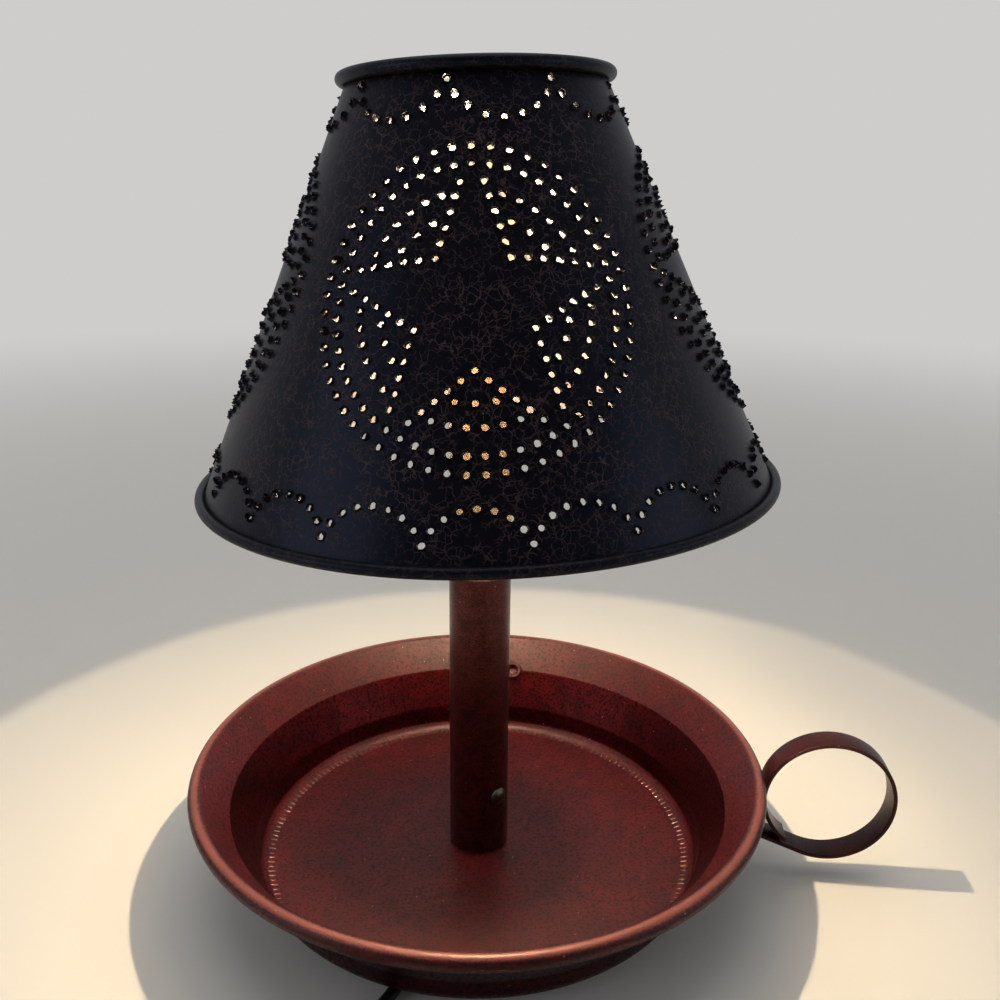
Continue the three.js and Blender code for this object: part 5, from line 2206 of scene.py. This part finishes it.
    def seam(self) -> Solid:
        """The lapped edge of the sheet, down the back.

        Returns:
            The lap, as a solid of its own.
        """
        low, high = self.sheet / 2 + 0.03, self.sheet / 2 + 0.45
        rings = []
        for i in range(25):
            slant = self.slant_bottom - 3.2 - (self.medallion_rise * 2 - 9) * i / 24
            width = self.seam_width / (slant * sin(self.angle))
            spread = [self.seam_turn + width * (k / 3 - 0.5) for k in range(4)]
            rings.append(
                [self.on_cone(turn, slant, high) for turn in spread]
                + [self.on_cone(turn, slant, low) for turn in reversed(spread)]
            )
        return lofted(rings)

    def punching(self) -> Pattern:
        """A tree that cuts a many-sided hole through the sheet at each point.

        Returns:
            The tree.
        """
        tree = Pattern("punched_sheet", {
            "Holes": "Object", "Radius": "Float", "Reach": "Float", "Sides": "Int", "Least": "Vector",
            "Most": "Vector", "Seed": "Int",
        })
        given = tree.given
        punch = tree.node("GeometryNodeMeshCylinder", None, {
            "Vertices": given["Sides"], "Radius": given["Radius"], "Depth": given["Reach"],
        })
        size = tree.drawn("FLOAT_VECTOR", given["Least"], given["Most"], given["Seed"])
        punches = tree.spread(tree.source("Holes"), punch, tree.spun_about_aim(), size)
        tree.end(tree.node("GeometryNodeMeshBoolean", {"operation": "DIFFERENCE", "solver": "MANIFOLD"}, {
            "Mesh 1": given["Geometry"], "Mesh 2": punches,
        }))
        return tree

    def raising(self) -> Pattern:
        """A tree that sets a ragged burr round each point.

        Returns:
            The tree.
        """
        tree = Pattern("raised_burrs", {
            "Blank": "Object", "Least Size": "Float", "Most Size": "Float", "Ragged": "Float", "Seed": "Int",
        })
        ragged, seed = tree.given["Ragged"], tree.given["Seed"]
        size = tree.drawn("FLOAT", tree.given["Least Size"], tree.given["Most Size"], seed)
        burrs = tree.spread(tree.given["Geometry"], tree.source("Blank"), tree.spun_about_aim(), size)
        rise = tree.node(
            "ShaderNodeMath", {"operation": "MULTIPLY"}, {0: ragged, 1: tree.drawn("FLOAT", -0.9, 1.0, seed)},
        )
        lift = tree.scaled(tree.named("aim", "FLOAT_VECTOR"), rise)
        aside = tree.scaled(tree.drawn("FLOAT_VECTOR", (-1, -1, -1), (1, 1, 1), seed), ragged)
        both = tree.node(
            "ShaderNodeVectorMath", {"operation": "ADD"}, {0: lift, 1: tree.scaled(aside, self.burr_wander)},
        )
        offset = tree.scaled(both, tree.named("tip", "FLOAT"))
        tree.end(tree.node("GeometryNodeSetPosition", None, {"Geometry": burrs, "Offset": offset}))
        return tree

    def burr_blank(self) -> Item:
        """One burr: a low crater of torn metal, with its tips marked.

        Returns:
            The burr.
        """
        radius = self.hole_radius
        tip = self.sheet / 2 + self.burr_height
        ring = [(radius + 0.04, 0.1), (radius + 0.46, 0.2), (radius + 0.08, tip)]
        blank = spun(ring, self.hole_sides).named("burr_blank")
        tips = [1.0 if vertex.co.z > self.burr_height * MM else 0.0 for vertex in blank.data.vertices]
        blank.data.attributes.new("tip", "FLOAT", "POINT").data.foreach_set("value", tips)
        return blank

    def shade_evenly(self, mesh: bpy.types.Mesh) -> None:
        """Gives the cut sheet the normals of the plain cone and hems, and its inside the pale lining.

        Args:
            mesh: the cut sheet.
        """
        facing = Vector((cos(self.angle), sin(self.angle)))
        mesh.materials.append(SHADE_LINING.material())
        normals = [Vector((0, 0, 1))] * len(mesh.loops)
        for face in mesh.polygons:
            middle = face.center / MM
            radial = Vector((middle.x, middle.y)).normalized()
            section = Vector((face.normal.x * radial.x + face.normal.y * radial.y, face.normal.z))
            spot = Vector((hypot(middle.x, middle.y), middle.z))
            depth = (spot - Vector((0, self.apex))).dot(facing)
            along = section.dot(facing)
            hem = next((
                (centre, which.value) for centre, which in ((self.foot, Hem.FOOT), (self.crown, Hem.CROWN))
                if abs((spot - centre).length - which.value) < 0.06 and section.length > 0.6
            ), None)
            for loop in face.loop_indices:
                corner = mesh.vertices[mesh.loops[loop].vertex_index].co / MM
                reach = hypot(corner.x, corner.y)
                outward = Vector((corner.x / reach, corner.y / reach))
                if hem:
                    bow = (Vector((reach, corner.z)) - hem[0]).normalized()
                elif abs(along) > 0.9:
                    bow = facing * (1 if along > 0 else -1)
                else:
                    normals[loop] = face.normal.copy()
                    continue
                normals[loop] = Vector((outward.x * bow.x, outward.y * bow.x, bow.y))
            if not hem and along < -0.9 and depth < 0:
                face.material_index = 1
        mesh.shade_smooth()
        turn = Matrix.Rotation(-self.lean, 3, "Y")
        mesh.transform(in_metres(self.place))
        mesh.normals_split_custom_set([turn @ normal for normal in normals])

    def make(self, dresser: Dresser) -> None:
        """Makes the shade and what hangs it.

        Args:
            dresser: dresses the pieces.
        """
        points = self.hole_points()
        host = (spun(self.outline(), self.segments).outward() + self.seam()).named("punched_shade")
        self.punching().run(host, {
            "Holes": points, "Radius": self.hole_radius * MM, "Reach": 3 * MM, "Sides": self.hole_sides,
            "Least": (0.84, 0.84, 1.0), "Most": (1.12, 1.22, 1.0), "Seed": 5,
            "Paint": SHADE_CRACKLE.material(),
        })
        self.shade_evenly(host.data)
        paint_wear_and_light(host, self.rub_and_highlight)
        dresser.dress(host, SHADE_CRACKLE, "lampshade", ["shade"], None)

        blank = self.burr_blank()
        self.raising().run(points, {
            "Blank": blank, "Least Size": 0.95, "Most Size": 1.15, "Ragged": 0.65 * MM, "Seed": 8,
            "Paint": BURR_PAINT.material(),
        })
        points.name = "shade_burrs"
        points.data.transform(in_metres(self.place))
        dresser.dress(points, BURR_PAINT, "lampshade", (), 50)
        bpy.data.objects.remove(blank)
        self.hang(dresser)

    def rub_and_highlight(self, point: Vector) -> float:
        """The hems are worn.

        Args:
            point: a point of the shade.

        Returns:
            The share.
        """
        local = self.place.inverted() @ point
        spot = Vector((hypot(local.x, local.y), local.z))
        for centre, hem in ((self.foot, Hem.FOOT), (self.crown, Hem.CROWN)):
            if (spot - centre).length < hem.value + 0.1:
                return 0.3
        return 0.0

    def hang(self, dresser: Dresser) -> None:
        """Makes the crossbar with its ears and the pin.

        Args:
            dresser: dresses the pieces.
        """
        top, sheet = self.over_pin - 0.8, self.bar_sheet
        reach = self.crown.x - Hem.CROWN.value - 2 * GAP
        cross = edged(stadium(2 * reach, self.bar_width), top - sheet, top, (0.3, 0.3))
        item = cross.placed(rotate("Z", pi / 2)).placed(self.place).named("shade_bridge")
        ear = edged(stadium(9.2, 5), -sheet / 2, sheet / 2, (0.2, 0.2))
        ear_y = self.clip.saddle_length / 2 + GAP + sheet / 2
        for y in (-ear_y, ear_y):
            stand = shift(0, y, 2.1) @ rotate("X", pi / 2) @ rotate("Z", pi / 2)
            carve(item, ear.placed(self.place @ stand), "UNION")
        carve(item, rod(self.clip.pin_bore, (0, -9, 0), (0, 9, 0), 28).placed(self.place))
        dresser.dress(item, STEEL, "lampshade", ["shade_crossbar"])

        end = ear_y + sheet / 2 + GAP
        pin = spun(rounded([
            (0, -end - 0.9), (2.0, -end - 0.9, 0.5), (2.0, -end, 0.1), (1.1, -end), (1.1, end),
            (2.0, end, 0.1), (2.0, end + 0.9, 0.5), (0, end + 0.9),
        ]), 32).placed(self.place @ rotate("X", pi / 2)).named("pivot_rivet")
        dresser.dress(pin, STEEL, "lampshade", ["pivot_pin"])


# Studio


@dataclass
class Studio:
    """A plain pale floor, a pale surround and soft lights."""

    floor: Colour = srgb(219, 215, 206)
    surround: Colour = srgb(206, 205, 203)
    ambient: float = 0.43
    ambient_tilt: float = 0.6  # how much more comes from the back than from above, and less from the front
    far_out: float = 4000
    aim: tuple[float, float, float] = (AXIS * MM, 0, 0.12)  # where the soft lights point, in metres
    fade_from: float = 0.3
    fade_to: float = 1.7

    def make(self) -> None:
        """Makes the floor, the surround and the lights."""
        self.lay_floor()
        self.light_world()
        self.softbox("window_left", (-1.25, -0.62, 0.52), 0.9, 0.7, 3.6, (0.84, 0.89, 1.0))
        self.softbox("window_right", (1.3, -0.55, 0.55), 0.8, 0.6, 2.4, (0.84, 0.90, 1.0))
        self.softbox("overhead", (-0.1, 0.15, 1.5), 1.1, 1.1, 5.0, (1.0, 0.97, 0.93))
        bpy.context.scene.view_settings.view_transform = "Standard"

    def lay_floor(self) -> None:
        """Lays the floor, which fades into the surround far from the lamp."""
        edge = self.far_out
        floor = spun([(0, -40), (edge, -40), (edge, -0.02), (0, -0.02)], 96).named("floor")
        paint = Surface("floor_paint")
        grain = paint.noise(900)
        colour = paint.blend(grain * 0.25, self.floor, srgb(220, 214, 204))
        plain = paint.node("ShaderNodeBsdfPrincipled", None, {
            "Base Color": colour, "Roughness": 0.62, "Normal": paint.bump(grain, 0.00003),
        })
        far = paint.node("ShaderNodeEmission", None, {"Color": self.surround, "Strength": 1.0})
        length = paint.node("ShaderNodeVectorMath", {"operation": "LENGTH"}, {0: paint.place})
        fade = paint.step(Level(paint, length.outputs["Value"]), self.fade_from, self.fade_to)
        ray = paint.node("ShaderNodeLightPath").outputs
        seen = Level(paint, ray["Is Camera Ray"]).most(Level(paint, ray["Is Glossy Ray"]))
        mixed = paint.node("ShaderNodeMixShader", None, {0: fade * seen, 1: plain, 2: far})
        paint.node("ShaderNodeOutputMaterial", None, {"Surface": mixed})
        floor.data.materials.append(paint.material)

    def light_world(self) -> None:
        """Sets the surround that is seen and the light that it gives."""
        world = bpy.data.worlds.new("surround")
        world.use_nodes = True
        bpy.context.scene.world = world
        graph = Graph(world.node_tree)
        graph.tree.nodes.clear()
        ray = graph.node("ShaderNodeLightPath").outputs
        seen = Level(graph, ray["Is Camera Ray"]).most(Level(graph, ray["Is Transmission Ray"]))
        pale = graph.node("ShaderNodeBackground", None, {"Color": self.surround, "Strength": 1.0})
        way = graph.node("ShaderNodeTexCoord").outputs["Generated"]
        behind = Level(graph, graph.node("ShaderNodeSeparateXYZ", None, {"Vector": way}).outputs["Y"])
        light = graph.node("ShaderNodeBackground", None, {
            "Color": (0.92, 0.95, 1.0, 1.0), "Strength": self.ambient * (0.8 + behind * self.ambient_tilt),
        })
        mixed = graph.node("ShaderNodeMixShader", None, {0: seen, 1: light, 2: pale})
        graph.node("ShaderNodeOutputWorld", None, {"Surface": mixed})

    def softbox(
        self, name: str, place: tuple, width: float, height: float, power: float, colour: tuple,
    ) -> None:
        """Hangs an area light that faces the lamp.

        Args:
            name: its name.
            place: where it hangs, in metres.
            width: its width in metres.
            height: its height in metres.
            power: its power in watts.
            colour: its colour.
        """
        data = bpy.data.lights.new(name, "AREA")
        data.shape, data.size, data.size_y = "RECTANGLE", width, height
        data.energy, data.color = power, colour
        item = into_scene(name, data)
        item.location = place
        item.rotation_euler = (Vector(self.aim) - Vector(place)).to_track_quat("-Z", "Y").to_euler()


def main() -> None:
    """Builds the camera and cord first, then the lamp from the table up, and the studio."""
    logging.basicConfig(level=logging.INFO, format="%(name)s: %(message)s")
    dresser = Dresser()
    Viewpoint().make()
    cord = CordRun()
    leads = cord.make(dresser)
    on_first = LineSwitch(cord).make(dresser)
    on_second = Plug(cord).make(dresser)
    cord.declare(leads, on_first, on_second)

    tray = Tray()
    tray.make(dresser)
    RingHandle(tray).make(dresser)
    CandleTube().make(dresser)
    SmallSocket().make(dresser)
    bulb = Bulb()
    bulb.make(dresser)
    clip = BulbClip(bulb)
    clip.make(dresser)
    PunchedShade(clip).make(dresser)
    Studio().make()

    LOG.info("%d pieces", len(dresser.pieces))


if __name__ == "__main__":
    main()
